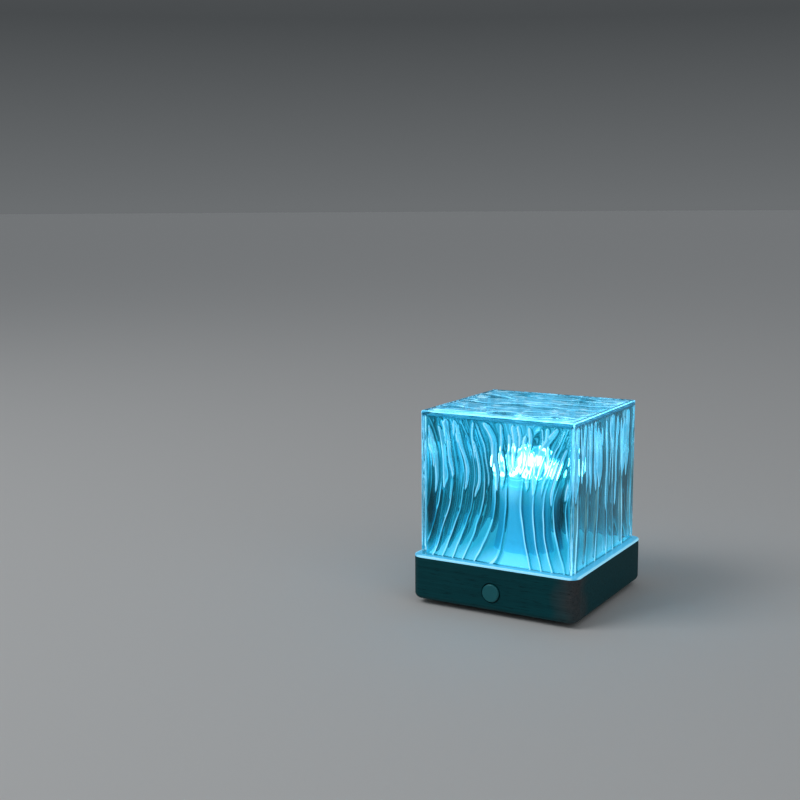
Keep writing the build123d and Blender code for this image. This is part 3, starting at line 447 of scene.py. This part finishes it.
# Ripple dome: the half-globe lens that turns over the light source, pressed from clear acrylic.
# Its waves break the lamp's light into white-hot patches with blue between them. It is smooth inside,
# where it sits over the lens ring's spigot.
DOME_BORE_R, DOME_R = 14.25 * MM, 15.0 * MM
DOME_SEGMENTS, DOME_RINGS = 96, 48
WAVE_SIZE, WAVE_H, WARP_STRETCH = 6.0 * MM, 0.42 * MM, 0.7
WARP_SHIFTS = Vector((3.1, 0.7, 5.3)), Vector((5.2, 1.3, 2.8)), Vector((1.7, 9.2, 4.1))
CROWN_START, CROWN_END, CROWN_DIM = 0.45, 0.9, 0.25
RIM_TOLERANCE = 0.01 * MM
dome_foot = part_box("ripple_dome")[0].z


def ease(value, low, high):
    """Rises smoothly from 0 at the low value to 1 at the high one."""
    share = min(max((value - low) / (high - low), 0.0), 1.0)
    return share * share * (3 - 2 * share)


bpy.ops.object.select_all(action="DESELECT")
bpy.ops.mesh.primitive_uv_sphere_add(segments=DOME_SEGMENTS, ring_count=DOME_RINGS, radius=DOME_R)
dome = bpy.context.object
dome.name = "wave_lens"
bpy.ops.object.mode_set(mode="EDIT")
bpy.ops.mesh.select_mode(type="VERT")
bpy.ops.mesh.select_all(action="DESELECT")
bpy.ops.object.mode_set(mode="OBJECT")
for vertex in dome.data.vertices:
    vertex.select = vertex.co.z < -RIM_TOLERANCE
bpy.ops.object.mode_set(mode="EDIT")
bpy.ops.mesh.delete(type="VERT")
bpy.ops.object.mode_set(mode="OBJECT")
shell = dome.modifiers.new("shell", "SOLIDIFY")
shell.thickness = DOME_R - DOME_BORE_R
shell.offset = -1.0
bpy.ops.object.modifier_apply(modifier=shell.name)
wave = dome.data.attributes.new("wave", "FLOAT", "POINT")
for vertex in dome.data.vertices:
    spot = vertex.co / WAVE_SIZE
    swell = noise.noise(spot + Vector([noise.noise(spot * WARP_STRETCH + shift) for shift in WARP_SHIFTS]))
    crown = ease(vertex.co.z / DOME_R, CROWN_START, CROWN_END)
    wave.data[vertex.index].value = swell - CROWN_DIM * crown
    if vertex.co.length > (DOME_R + DOME_BORE_R) / 2:
        vertex.co *= 1 + WAVE_H / DOME_R * swell
    vertex.co.z = dome_foot + max(vertex.co.z, 0)
bpy.ops.object.shade_smooth_by_angle(angle=radians(40))

patch_lit_lens, tree, place = start_material("rippled_lens_acrylic")
wave = add_node(tree, "ShaderNodeAttribute", attribute_name="wave")
wave_share = add_node(
    tree, "ShaderNodeMapRange", {"Value": wave.outputs["Fac"], "From Min": -0.5, "From Max": 0.5}
)
glow = add_node(
    tree, "ShaderNodeValToRGB", {"Fac": wave_share.outputs["Result"]},
    stops=((0.26, "#2c3444"), (0.42, "#625b6e"), (0.52, "#8c7f94"), (0.55, "#ffffff")),
)
end_material(
    tree,
    {
        "Base Color": linear("#dff6ff"),
        "Roughness": 0.1,
        "Emission Color": glow.outputs["Color"],
        "Emission Strength": 9.0,
    },
)
dome.data.materials.append(patch_lit_lens)
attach(dome, "lens")
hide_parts("ripple_dome")

# Clear cube: a cover cast in acrylic, polished flat outside and rippled inside, bonded to the light plate.
# On the walls the ripples are ribbons that draw together at a waist and break into drips higher up,
# and the roof has shallow waves from side to side. Lengths in this section are in millimetres.
WALL_T, EDGE_R, DARK_RIM_H = 2.2, 0.6, 4
ACRYLIC_IOR = 1.49
CASTING_PATCH, SHIMMER_PATCH, STRAND_PATCH = 30, 6, 6
cover_low, cover_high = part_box("crystal_cover")
cavity_half = cover_high.x / MM - WALL_T
cavity_h = (cover_high.z - cover_low.z) / MM - WALL_T
deck = cover_low.z / MM

# The polished outside. The acrylic is clear: the cyan in its tint and its reflections is painted, standing in
# for the lamp's cyan light. Just under its top edge, where one looks along the roof's sheet, a band of
# painted shade makes the tint much darker.
polished_acrylic, tree, place = start_material("polished_clear_acrylic")
casting_and_glow_mottle = add_node(
    tree, "ShaderNodeTexNoise", {"Vector": place, "Scale": 1 / (CASTING_PATCH * MM), "Detail": 1.0}
)
clear = add_node(
    tree, "ShaderNodeValToRGB", {"Fac": casting_and_glow_mottle.outputs["Fac"]}, stops=((0.3, "#84e6f2"), (0.7, "#90ecf6"))
)
axes = add_node(tree, "ShaderNodeSeparateXYZ", {"Vector": place})
# Painted shade: a dark band multiplied into the tint just under the top edge.
rim = add_node(
    tree, "ShaderNodeMapRange",
    {"Value": axes.outputs["Z"], "From Min": cover_high.z - DARK_RIM_H * MM, "From Max": cover_high.z},
)
rim_painted_shade = add_node(
    tree, "ShaderNodeValToRGB", {"Fac": rim.outputs["Result"]},
    stops=((0.15, "#ffffff"), (0.42, "#16444e"), (0.84, "#16444e"), (0.92, "#ffffff")),
)
tint_with_painted_light = add_node(
    tree, "ShaderNodeMixRGB",
    {"Fac": 1.0, "Color1": clear.outputs["Color"], "Color2": rim_painted_shade.outputs["Color"]},
    blend_type="MULTIPLY",
)
end_material(
    tree,
    {
        "Base Color": tint_with_painted_light.outputs["Color"],
        "Roughness": 0.0,
        "IOR": ACRYLIC_IOR,
        "Transmission Weight": 1.0,
        "Specular Tint": linear("#8ae6f4"),
    },
)

# The rounded edges, where light that runs inside the walls comes out.
bright_edge, tree, place = start_material("polished_acrylic_edge")
shimmer = add_node(
    tree, "ShaderNodeTexNoise", {"Vector": place, "Scale": 1 / (SHIMMER_PATCH * MM), "Detail": 2.0}
)
glow = add_node(
    tree, "ShaderNodeValToRGB", {"Fac": shimmer.outputs["Fac"]}, stops=((0.35, "#2f98c4"), (0.65, "#8fd4f2"))
)
end_material(
    # The edges' cyan tint is painted too, standing in for the lamp's cyan light.
    tree,
    {
        "Base Color": linear("#84e6f2"),
        "Roughness": 0.05,
        "IOR": ACRYLIC_IOR,
        "Transmission Weight": 1.0,
        "Emission Color": glow.outputs["Color"],
        "Emission Strength": 0.45,
    },
)

# The rippled inside. Its light goes from -1, dark, to 1, bright: each ribbon slopes up to a bright line with
# a dark one beside it, both a share of its width, and each strand is lit on one edge and dark on the other.
FIELDS = ("ribbon", "shine", "edge", "side", "tone")
LINE_W, DARK_LINE_W = 0.055, 1.5 * 0.055
SLOPE_POWER, SLOPE_LIGHT, DARK_LINE_LIGHT = 1.5, 0.42, -0.5
STRAND_EDGE_W, STRAND_DARK_W, STRAND_BLUR = 0.4, 1.25 * 0.4, 0.25
STRAND_LIGHT, STRAND_MOTTLE = 0.44, 0.4
SIDE_BLUR, LIT_EDGE_LIGHT, DARK_EDGE_LIGHT = 0.2, 0.5, -0.45
ROOF_LIGHT, ROOF_LIGHT_H = 1.5, 1
rippled_acrylic, tree, place = start_material("rippled_clear_acrylic")
ribbon, shine, strand, strand_side, tone = (
    add_node(tree, "ShaderNodeAttribute", attribute_name=field).outputs["Fac"] for field in FIELDS
)
right = add_node(tree, "ShaderNodeMath", {0: ribbon}, operation="FRACT").outputs["Value"]
bells = []
for value, middle, width in (
    (right, 1 - LINE_W, LINE_W),
    (right, DARK_LINE_W, DARK_LINE_W),
    (strand, 0.0, STRAND_EDGE_W),
    (strand, -STRAND_DARK_W, STRAND_DARK_W),
):
    off = add_node(tree, "ShaderNodeMath", {0: value, 1: middle}, operation="SUBTRACT")
    share = add_node(tree, "ShaderNodeMath", {0: off.outputs["Value"], 1: width}, operation="DIVIDE")
    square = add_node(tree, "ShaderNodeMath", {0: share.outputs["Value"], 1: 2.0}, operation="POWER")
    fall = add_node(tree, "ShaderNodeMath", {0: square.outputs["Value"], 1: -1.0}, operation="MULTIPLY")
    curve = add_node(tree, "ShaderNodeMath", {0: fall.outputs["Value"]}, operation="EXPONENT")
    bells.append(curve.outputs["Value"])
bright_line, dark_line, lit_edge, dark_edge = bells
slope = add_node(tree, "ShaderNodeMath", {0: right, 1: SLOPE_POWER}, operation="POWER").outputs["Value"]
light = add_node(
    tree, "ShaderNodeMath", {0: slope, 1: SLOPE_LIGHT, 2: bright_line}, operation="MULTIPLY_ADD"
).outputs["Value"]
light = add_node(
    tree, "ShaderNodeMath", {0: dark_line, 1: DARK_LINE_LIGHT, 2: light}, operation="MULTIPLY_ADD"
).outputs["Value"]
light = add_node(
    tree, "ShaderNodeMath", {0: light, 1: shine, 2: tone}, operation="MULTIPLY_ADD"
).outputs["Value"]
# Noise that mottles the strands' painted light.
casting_and_glow_mottle = add_node(
    tree, "ShaderNodeTexNoise", {"Vector": place, "Scale": 1 / (STRAND_PATCH * MM), "Detail": 2.0}
)
strand_light = add_node(
    tree, "ShaderNodeMath",
    {0: casting_and_glow_mottle.outputs["Fac"], 1: STRAND_MOTTLE, 2: STRAND_LIGHT}, operation="MULTIPLY_ADD",
)
fill = add_node(
    tree, "ShaderNodeMapRange", {"Value": strand, "From Min": -STRAND_BLUR, "From Max": STRAND_BLUR},
    interpolation_type="SMOOTHSTEP",
)
lift = add_node(tree, "ShaderNodeMath", {0: strand_light.outputs["Value"], 1: light}, operation="SUBTRACT")
light = add_node(
    tree, "ShaderNodeMath",
    {0: lift.outputs["Value"], 1: fill.outputs["Result"], 2: light}, operation="MULTIPLY_ADD",
).outputs["Value"]
for line, blur, strength in (
    (lit_edge, -SIDE_BLUR, LIT_EDGE_LIGHT),
    (dark_edge, SIDE_BLUR, DARK_EDGE_LIGHT),
):
    beside = add_node(
        tree, "ShaderNodeMapRange", {"Value": strand_side, "From Min": -blur, "From Max": blur},
        interpolation_type="SMOOTHSTEP",
    )
    line = add_node(tree, "ShaderNodeMath", {0: line, 1: beside.outputs["Result"]}, operation="MULTIPLY")
    light = add_node(
        tree, "ShaderNodeMath", {0: line.outputs["Value"], 1: strength, 2: light}, operation="MULTIPLY_ADD"
    ).outputs["Value"]
share = add_node(tree, "ShaderNodeMapRange", {"Value": light, "From Min": -1.0, "From Max": 1.0})
axes = add_node(tree, "ShaderNodeSeparateXYZ", {"Vector": place})
beam = add_node(
    tree, "ShaderNodeMapRange",
    {
        "Value": axes.outputs["Z"],
        "From Min": cover_high.z - (WALL_T + ROOF_LIGHT_H) * MM,
        "From Max": cover_high.z - WALL_T * MM,
        "To Min": 1.0,
        "To Max": ROOF_LIGHT,
    },
)
# The acrylic's tint is painted with the same light: deep where it is dark, pale where it is bright, and
# darker again under the brightest lines.
tint_with_painted_light = add_node(
    tree, "ShaderNodeValToRGB", {"Fac": share.outputs["Result"]},
    stops=((0.0, "#02262f"), (0.3, "#066a7c"), (0.5, "#12a0b4"), (0.72, "#74e0ec"), (0.92, "#2c5c66")),
)
glow = add_node(
    tree, "ShaderNodeValToRGB", {"Fac": share.outputs["Result"]},
    stops=(
        (0.0, "#000000"), (0.35, "#00161e"), (0.5, "#023848"), (0.68, "#167292"),
        (0.80, "#52a0c8"), (0.92, "#9ccaea"), (1.0, "#d0e8ff"),
    ),
)
end_material(
    tree,
    {
        "Base Color": tint_with_painted_light.outputs["Color"],
        "Roughness": 0.0,
        "IOR": ACRYLIC_IOR,
        "Transmission Weight": 1.0,
        "Emission Color": glow.outputs["Color"],
        "Emission Strength": beam.outputs["Result"],
    },
)

# The ribbons' course. The groups left and right of the waist lean away from it at the top and at the foot,
# by one length beside the waist and by another further out.
WAIST_SIDE, WAIST_HALF_GAP = 9.8, 3.4
WAIST_H = {-1: 42.0, 1: 29.0}
TOP_LEAN = {-1: (4.0, 8.0), 1: (6.5, 13.5)}
FOOT_LEAN = {-1: (4.0, 12.0), 1: (5.0, 5.5)}
LEAN_REACH, LEAN_POWER = 16.0, 1.7
SWAY, SWAY_SIZE = 1.5, 13
SHAKE, SHAKE_SIZE = 0.5, 4
UPRIGHT = 0.4


def bell(value, middle, width):
    """Bell curve with its top, 1, at the middle."""
    return exp(-((value - middle) / width) ** 2)


def drift(x, y, size, seed):
    """Smooth random value between about -1 and 1 that changes over the given size."""
    return noise.noise(Vector((x / size, y / size, seed)))


def ribbon_place(across, up, lean_share, seed):
    """Distance of a point from the waist, counted at the waist's level along the ribbon, and its side."""
    sway = SWAY * drift(across, up * UPRIGHT, SWAY_SIZE, seed)
    across += sway + SHAKE * drift(across, up * UPRIGHT, SHAKE_SIZE, seed + 5)
    group = 1 if across > WAIST_SIDE else -1
    reach = abs(across - WAIST_SIDE) - WAIST_HALF_GAP
    waist = WAIST_H[group]
    if up > waist:
        near, far = TOP_LEAN[group]
        bend = ((up - waist) / (cavity_h - waist)) ** LEAN_POWER
    else:
        near, far = FOOT_LEAN[group]
        bend = ((waist - up) / waist) ** LEAN_POWER
    return reach - lean_share * bend * (near + (far - near) * ease(reach, 0, LEAN_REACH)), group


# The strands. Each hangs from near the roof to a foot of its own, and is thin, thick or cut short by chance.
FOOT_SPREAD, HEAD_RISE, HEAD_SPREAD = 26, 7, 20
SWELL_L, SWELL_SPREAD, HEAD_TAPER = 8, 14, 8
THIN_HALF, THICK_SPREAD = 0.06, 0.40
STRAND_MARGIN, STRAND_SPAN = 0.2, 0.6
STRAND_SWAY, STRAND_SWAY_SIZE, STRAND_SEED_STEP = 1.6, 14, 5.1
OUTSIDE, FULL_HALF = 2, 0.5
NO_STRAND = -9.0


def strands(reach, group, up, pitch, lowest, seed):
    """How deep a point is in the nearest strand, and how far it is to the right of the strand's middle."""
    depth, aside = NO_STRAND, 0.0
    first = floor(reach / pitch) - 1
    for number in range(first, first + 3):
        pick = [0.5 + 0.5 * noise.cell(Vector((number + 0.5, turn + 0.5, seed + 0.5))) for turn in range(5)]
        foot = lowest + FOOT_SPREAD * pick[0]
        head = cavity_h + HEAD_RISE - HEAD_SPREAD * pick[1] ** 2
        middle = (number + STRAND_MARGIN + STRAND_SPAN * pick[2]) * pitch
        middle += STRAND_SWAY * drift(number * STRAND_SEED_STEP, up, STRAND_SWAY_SIZE, seed)
        half = pitch * (THIN_HALF + THICK_SPREAD * pick[3] ** 1.5)
        half *= ease(up, foot, foot + SWELL_L + SWELL_SPREAD * pick[4])
        half *= 1 - ease(up, head - HEAD_TAPER, head)
        offset = (reach - middle) * group
        inside = half - abs(offset) - OUTSIDE * (1 - ease(half, 0.0, FULL_HALF))
        if inside > depth:
            depth, aside = inside, offset
    return depth, aside


# The walls. Below the drips' level the ribbons' crests stand full, and above it they fade. Light gathers
# at the foot and in the clear gap at the waist, and two dark pockets lie at the sides.
CREST_H, CREST_ROUND, STRAND_H, STRAND_ROUND = 0.8, 0.45, 0.4, 0.7
SHORT_STRAND_LIFT = 16.0
DRIPS_LOW, DRIPS_HIGH, DRIPS_SWAY, DRIPS_SWAY_SIZE = 28, 46, 8, 9
SHINE, SHINE_DRIFT, SHINE_SIZE, LEAST_SHINE = 0.75, 0.7, 14, 0.1
GAP_START, GAP_END = 0.2, -2.6
DRIPS_SHINE_LOSS, DRIPS_CREST_LOSS = 0.6, 0.4
RIBBON_DIM, DRIPS_LIGHT, DRIPS_DIM = 0.22, 0.60, 0.50
FOOT_LIGHT, FOOT_LIT_H, GAP_LIGHT = 0.36, 13, 0.42
POCKETS = ((-36.5, 24.0, 2.6, 10.0), (34.0, 30.0, 2.4, 12.0))
POCKET_DIM = 1.4
CORNER_FADE, CORNER_TONE = 1.5, 0.3
TOP_FADE, FOOT_FADE, STRAND_FADE = 2.5, 3, 3
ROOF_TONE, ROOF_TONE_H = 0.64, 0.8


def wall_form(across, up, lean_share, pitch, strand_pitch, lowest, seed):
    """Height of a wall's ripple at a point, and the values there of the fields that its light follows."""
    reach, group = ribbon_place(across, up, lean_share, seed)
    ribbon = group * reach / pitch
    high = ease(up + DRIPS_SWAY * drift(across, 0, DRIPS_SWAY_SIZE, seed + 13), DRIPS_LOW, DRIPS_HIGH)
    near = ease(reach, GAP_END, GAP_START)
    shine = max(SHINE + SHINE_DRIFT * drift(across, up * UPRIGHT, SHINE_SIZE, seed + 2), LEAST_SHINE)
    shine *= (1 - DRIPS_SHINE_LOSS * high) * near
    depth, aside = max(
        strands(reach, group, up, strand_pitch, lowest, seed),
        strands(across, 1, up, strand_pitch, lowest + SHORT_STRAND_LIFT, seed + 9),
    )
    tone = RIBBON_DIM * (high - 1) + (DRIPS_LIGHT * lean_share - DRIPS_DIM) * high
    tone += FOOT_LIGHT * (1 - ease(up, 0, FOOT_LIT_H))
    tone += GAP_LIGHT * lean_share * (1 - near)
    if lean_share == 1:
        for pocket_x, pocket_z, pocket_w, pocket_h in POCKETS:
            tone -= POCKET_DIM * bell(across, pocket_x, pocket_w) * bell(up, pocket_z, pocket_h)
    crest = 1 - hypot(sin(pi * ribbon), CREST_ROUND) / hypot(1, CREST_ROUND)
    height = CREST_H * crest * (1 - DRIPS_CREST_LOSS * high) * near
    height += STRAND_H * ease(depth, -STRAND_ROUND, STRAND_ROUND)
    inside = ease(cavity_half - abs(across), 0.0, CORNER_FADE)
    tone = tone * inside + CORNER_TONE * (1 - inside)
    tone += (ROOF_TONE - tone) * (1 - ease(cavity_h - up, 0.0, ROOF_TONE_H))
    inside *= ease(cavity_h - up, 0.0, TOP_FADE)
    fields = ribbon, shine * inside, depth - STRAND_FADE * (1 - inside), aside, tone
    return height * inside * ease(up, 0, FOOT_FADE), fields


# The roof. Its waves are long from side to side, with dark lens-shaped hollows, bright veins round them
# and a few bright flecks. The waves stop short of the front edge.
ROOF_STRETCH, ROOF_SLANT = 0.4, 0.1
WAVES_SIZE, WAVELETS_SIZE, WAVELETS_SHARE, FLECK_SIZE = 6.5, 2.8, 0.3, 4
LENS_LOW, LENS_HIGH, LENS_DIM = 0.05, 0.25, 0.42
VEIN, VEIN_W, VEIN_LIGHT = 0.02, 0.06, 0.36
FLECK_LOW, FLECK_HIGH, FLECK_LIGHT = 0.3, 0.45, 0.35
ROOF_MARGIN, FRONT_MARGIN, FRONT_FADE = 2.5, 2.0, 9.0
ROOF_CREST = 0.4


def roof_form(x, y):
    """Height of the roof's ripple at a point, and its light."""
    long_x = x * ROOF_STRETCH + y * ROOF_SLANT
    waves = drift(long_x, y, WAVES_SIZE, 31) + WAVELETS_SHARE * drift(long_x, y, WAVELETS_SIZE, 37)
    lens = ease(waves, LENS_LOW, LENS_HIGH)
    inside = ease(cavity_half - max(abs(x), abs(y)), 0.0, ROOF_MARGIN)
    fade = inside * ease(y + cavity_half, FRONT_MARGIN, FRONT_FADE)
    tone = ROOF_TONE - LENS_DIM * lens * fade + VEIN_LIGHT * bell(waves, VEIN, VEIN_W)
    tone += FLECK_LIGHT * ease(drift(x * ROOF_STRETCH, y, FLECK_SIZE, 43), FLECK_LOW, FLECK_HIGH)
    return CREST_H * ROOF_CREST * (1 - lens) * fade, tone


# The outer cube, with its edges rounded and its underside open.
bpy.ops.object.select_all(action="DESELECT")
bpy.ops.mesh.primitive_cube_add(
    size=1, location=(0, 0, (cover_low.z + cover_high.z) / 2), scale=cover_high - cover_low
)
cube = bpy.context.object
cube.name = "rippled_cube"
bpy.ops.object.transform_apply()
cube.data.materials.append(polished_acrylic)
cube.data.materials.append(bright_edge)
bpy.ops.object.mode_set(mode="EDIT")
bpy.ops.mesh.select_mode(type="EDGE")
bpy.ops.mesh.select_all(action="DESELECT")
bpy.ops.object.mode_set(mode="OBJECT")
for edge in cube.data.edges:
    edge.select = any(cube.data.vertices[corner].co.z > cover_low.z + MM for corner in edge.vertices)
bpy.ops.object.mode_set(mode="EDIT")
bpy.ops.mesh.bevel(offset=EDGE_R * MM, segments=3, affect="EDGES")
bpy.ops.mesh.select_all(action="DESELECT")
bpy.ops.mesh.select_mode(type="FACE")
bpy.ops.object.mode_set(mode="OBJECT")
for face in cube.data.polygons:
    face.select = face.normal.z < -0.9
    face.material_index = 0 if max(abs(part) for part in face.normal) > 0.999 else 1
bpy.ops.object.mode_set(mode="EDIT")
bpy.ops.mesh.delete(type="FACE")
bpy.ops.object.mode_set(mode="OBJECT")
for field in FIELDS:
    cube.data.attributes.new(field, "FLOAT", "POINT")

# The inner skins, four walls and then the roof, each a grid that is moved to its place and rippled.
# A wall's ribbons are given by the share of lean, their pitch, the strands' pitch and their lowest foot.
COLUMNS, ROWS = 176, 80
FRONT_AND_BACK, SIDES = (1.0, 6.0, 3.6, 24.0), (0.25, 13.0, 7.4, 14.0)
WALLS, WALL_SEED_STEP = 4, 20.0
MID_RIBBON = 0.5
skins = []
for number in range(WALLS + 1):
    rows = ROWS if number < WALLS else COLUMNS
    bpy.ops.object.select_all(action="DESELECT")
    bpy.ops.mesh.primitive_grid_add(x_subdivisions=COLUMNS, y_subdivisions=rows, size=1)
    skin = bpy.context.object
    skin.data.materials.append(rippled_acrylic)
    for field in FIELDS:
        skin.data.attributes.new(field, "FLOAT", "POINT")
    kept = [skin.data.attributes[field].data for field in FIELDS]
    turn = Matrix.Rotation(radians(90 * (number % WALLS)), 3, "Z")
    ribbons = FRONT_AND_BACK if number in (0, 2) else SIDES
    for vertex in skin.data.vertices:
        across = 2 * cavity_half * vertex.co.x
        if number < WALLS:
            up = cavity_h * (vertex.co.y + 0.5)
            height, values = wall_form(across, up, *ribbons, WALL_SEED_STEP * number)
            spot = turn @ Vector((across, height - cavity_half, deck + up))
        else:
            back = 2 * cavity_half * vertex.co.y
            height, tone = roof_form(across, back)
            values = (MID_RIBBON, 0.0, NO_STRAND, 0.0, tone)
            spot = Vector((across, back, deck + cavity_h - height))
        vertex.co = spot * MM
        for data, value in zip(kept, values):
            data[vertex.index].value = value
    bpy.ops.object.shade_smooth()
    skins.append(skin)

# The cube and the skins are joined, the skins' borders merged, and the foot between them filled.
bpy.ops.object.select_all(action="DESELECT")
for piece in (cube, *skins):
    piece.select_set(True)
bpy.context.view_layer.objects.active = cube
bpy.ops.object.join()
bpy.ops.object.mode_set(mode="EDIT")
bpy.ops.mesh.select_all(action="SELECT")
bpy.ops.mesh.remove_doubles(threshold=0.01 * MM)
bpy.ops.mesh.select_all(action="DESELECT")
bpy.ops.mesh.select_mode(type="EDGE")
bpy.ops.mesh.select_non_manifold(extend=False)
bpy.ops.mesh.fill()
bpy.ops.mesh.select_all(action="SELECT")
bpy.ops.mesh.normals_make_consistent(inside=False)
bpy.ops.object.mode_set(mode="OBJECT")
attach(cube, "base")
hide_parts("crystal_cover")

# Stage: a plain pale floor of paper under an even sky that darkens a little above the horizon,
# with a broad soft sun and one soft box at the left. Lengths are in metres.
FLOOR_R = 40.0
SOFTBOX_PLACE, SOFTBOX_SIDE = Vector((-0.8, -0.9, 1.3)), 0.9
bpy.ops.object.select_all(action="DESELECT")
bpy.ops.mesh.primitive_circle_add(vertices=96, radius=FLOOR_R, fill_type="NGON")
studio_floor = bpy.context.object
studio_floor.name = "studio_floor"
pale_paper, tree, place = start_material("pale_paper")
end_material(tree, {"Base Color": linear("#dcdddd"), "Roughness": 0.8})
studio_floor.data.materials.append(pale_paper)

bpy.ops.object.light_add(type="AREA", location=SOFTBOX_PLACE)
softbox = bpy.context.object
softbox.name = "softbox"
softbox.data.size = SOFTBOX_SIDE
softbox.data.energy = 7.8
softbox.rotation_euler = (-SOFTBOX_PLACE).to_track_quat("-Z", "Y").to_euler()
bpy.ops.object.light_add(type="SUN", rotation=(radians(30), radians(50), 0))
soft_sun = bpy.context.object
soft_sun.name = "soft_sun"
soft_sun.data.energy = 0.36
soft_sun.data.angle = radians(60)

world = bpy.data.worlds.new("studio")
bpy.context.scene.world = world
world.use_nodes = True
tree = world.node_tree
direction = add_node(tree, "ShaderNodeTexCoord")
rise = add_node(tree, "ShaderNodeSeparateXYZ", {"Vector": direction.outputs["Generated"]})
sky = add_node(
    tree, "ShaderNodeValToRGB", {"Fac": rise.outputs["Z"]},
    stops=((0.0, "#6b6e70"), (0.14, "#484b4d"), (0.6, "#7a7d80")),
)
tree.links.new(sky.outputs["Color"], tree.nodes["Background"].inputs["Color"])

# Camera: higher than the lamp's top and a little to the right of its front. It aims above the lamp and to its
# left, which puts the lamp low and to the right in the picture. Places are in millimetres.
CAMERA_PLACE, CAMERA_AIM = Vector((263.6, -581.1, 200.6)), Vector((-63.1, -24.6, 100.7))
CAMERA_ROLL = radians(-0.3)
bpy.ops.object.camera_add(location=CAMERA_PLACE * MM)
camera = bpy.context.object
look = (CAMERA_AIM - CAMERA_PLACE).to_track_quat("-Z", "Y").to_matrix()
camera.rotation_euler = (look @ Matrix.Rotation(CAMERA_ROLL, 3, "Z")).to_euler()
camera.data.lens = 56.5
camera.data.sensor_width = 36.0
camera.data.clip_start = 10 * MM
bpy.context.scene.camera = camera
bpy.context.scene.view_settings.view_transform = "Standard"
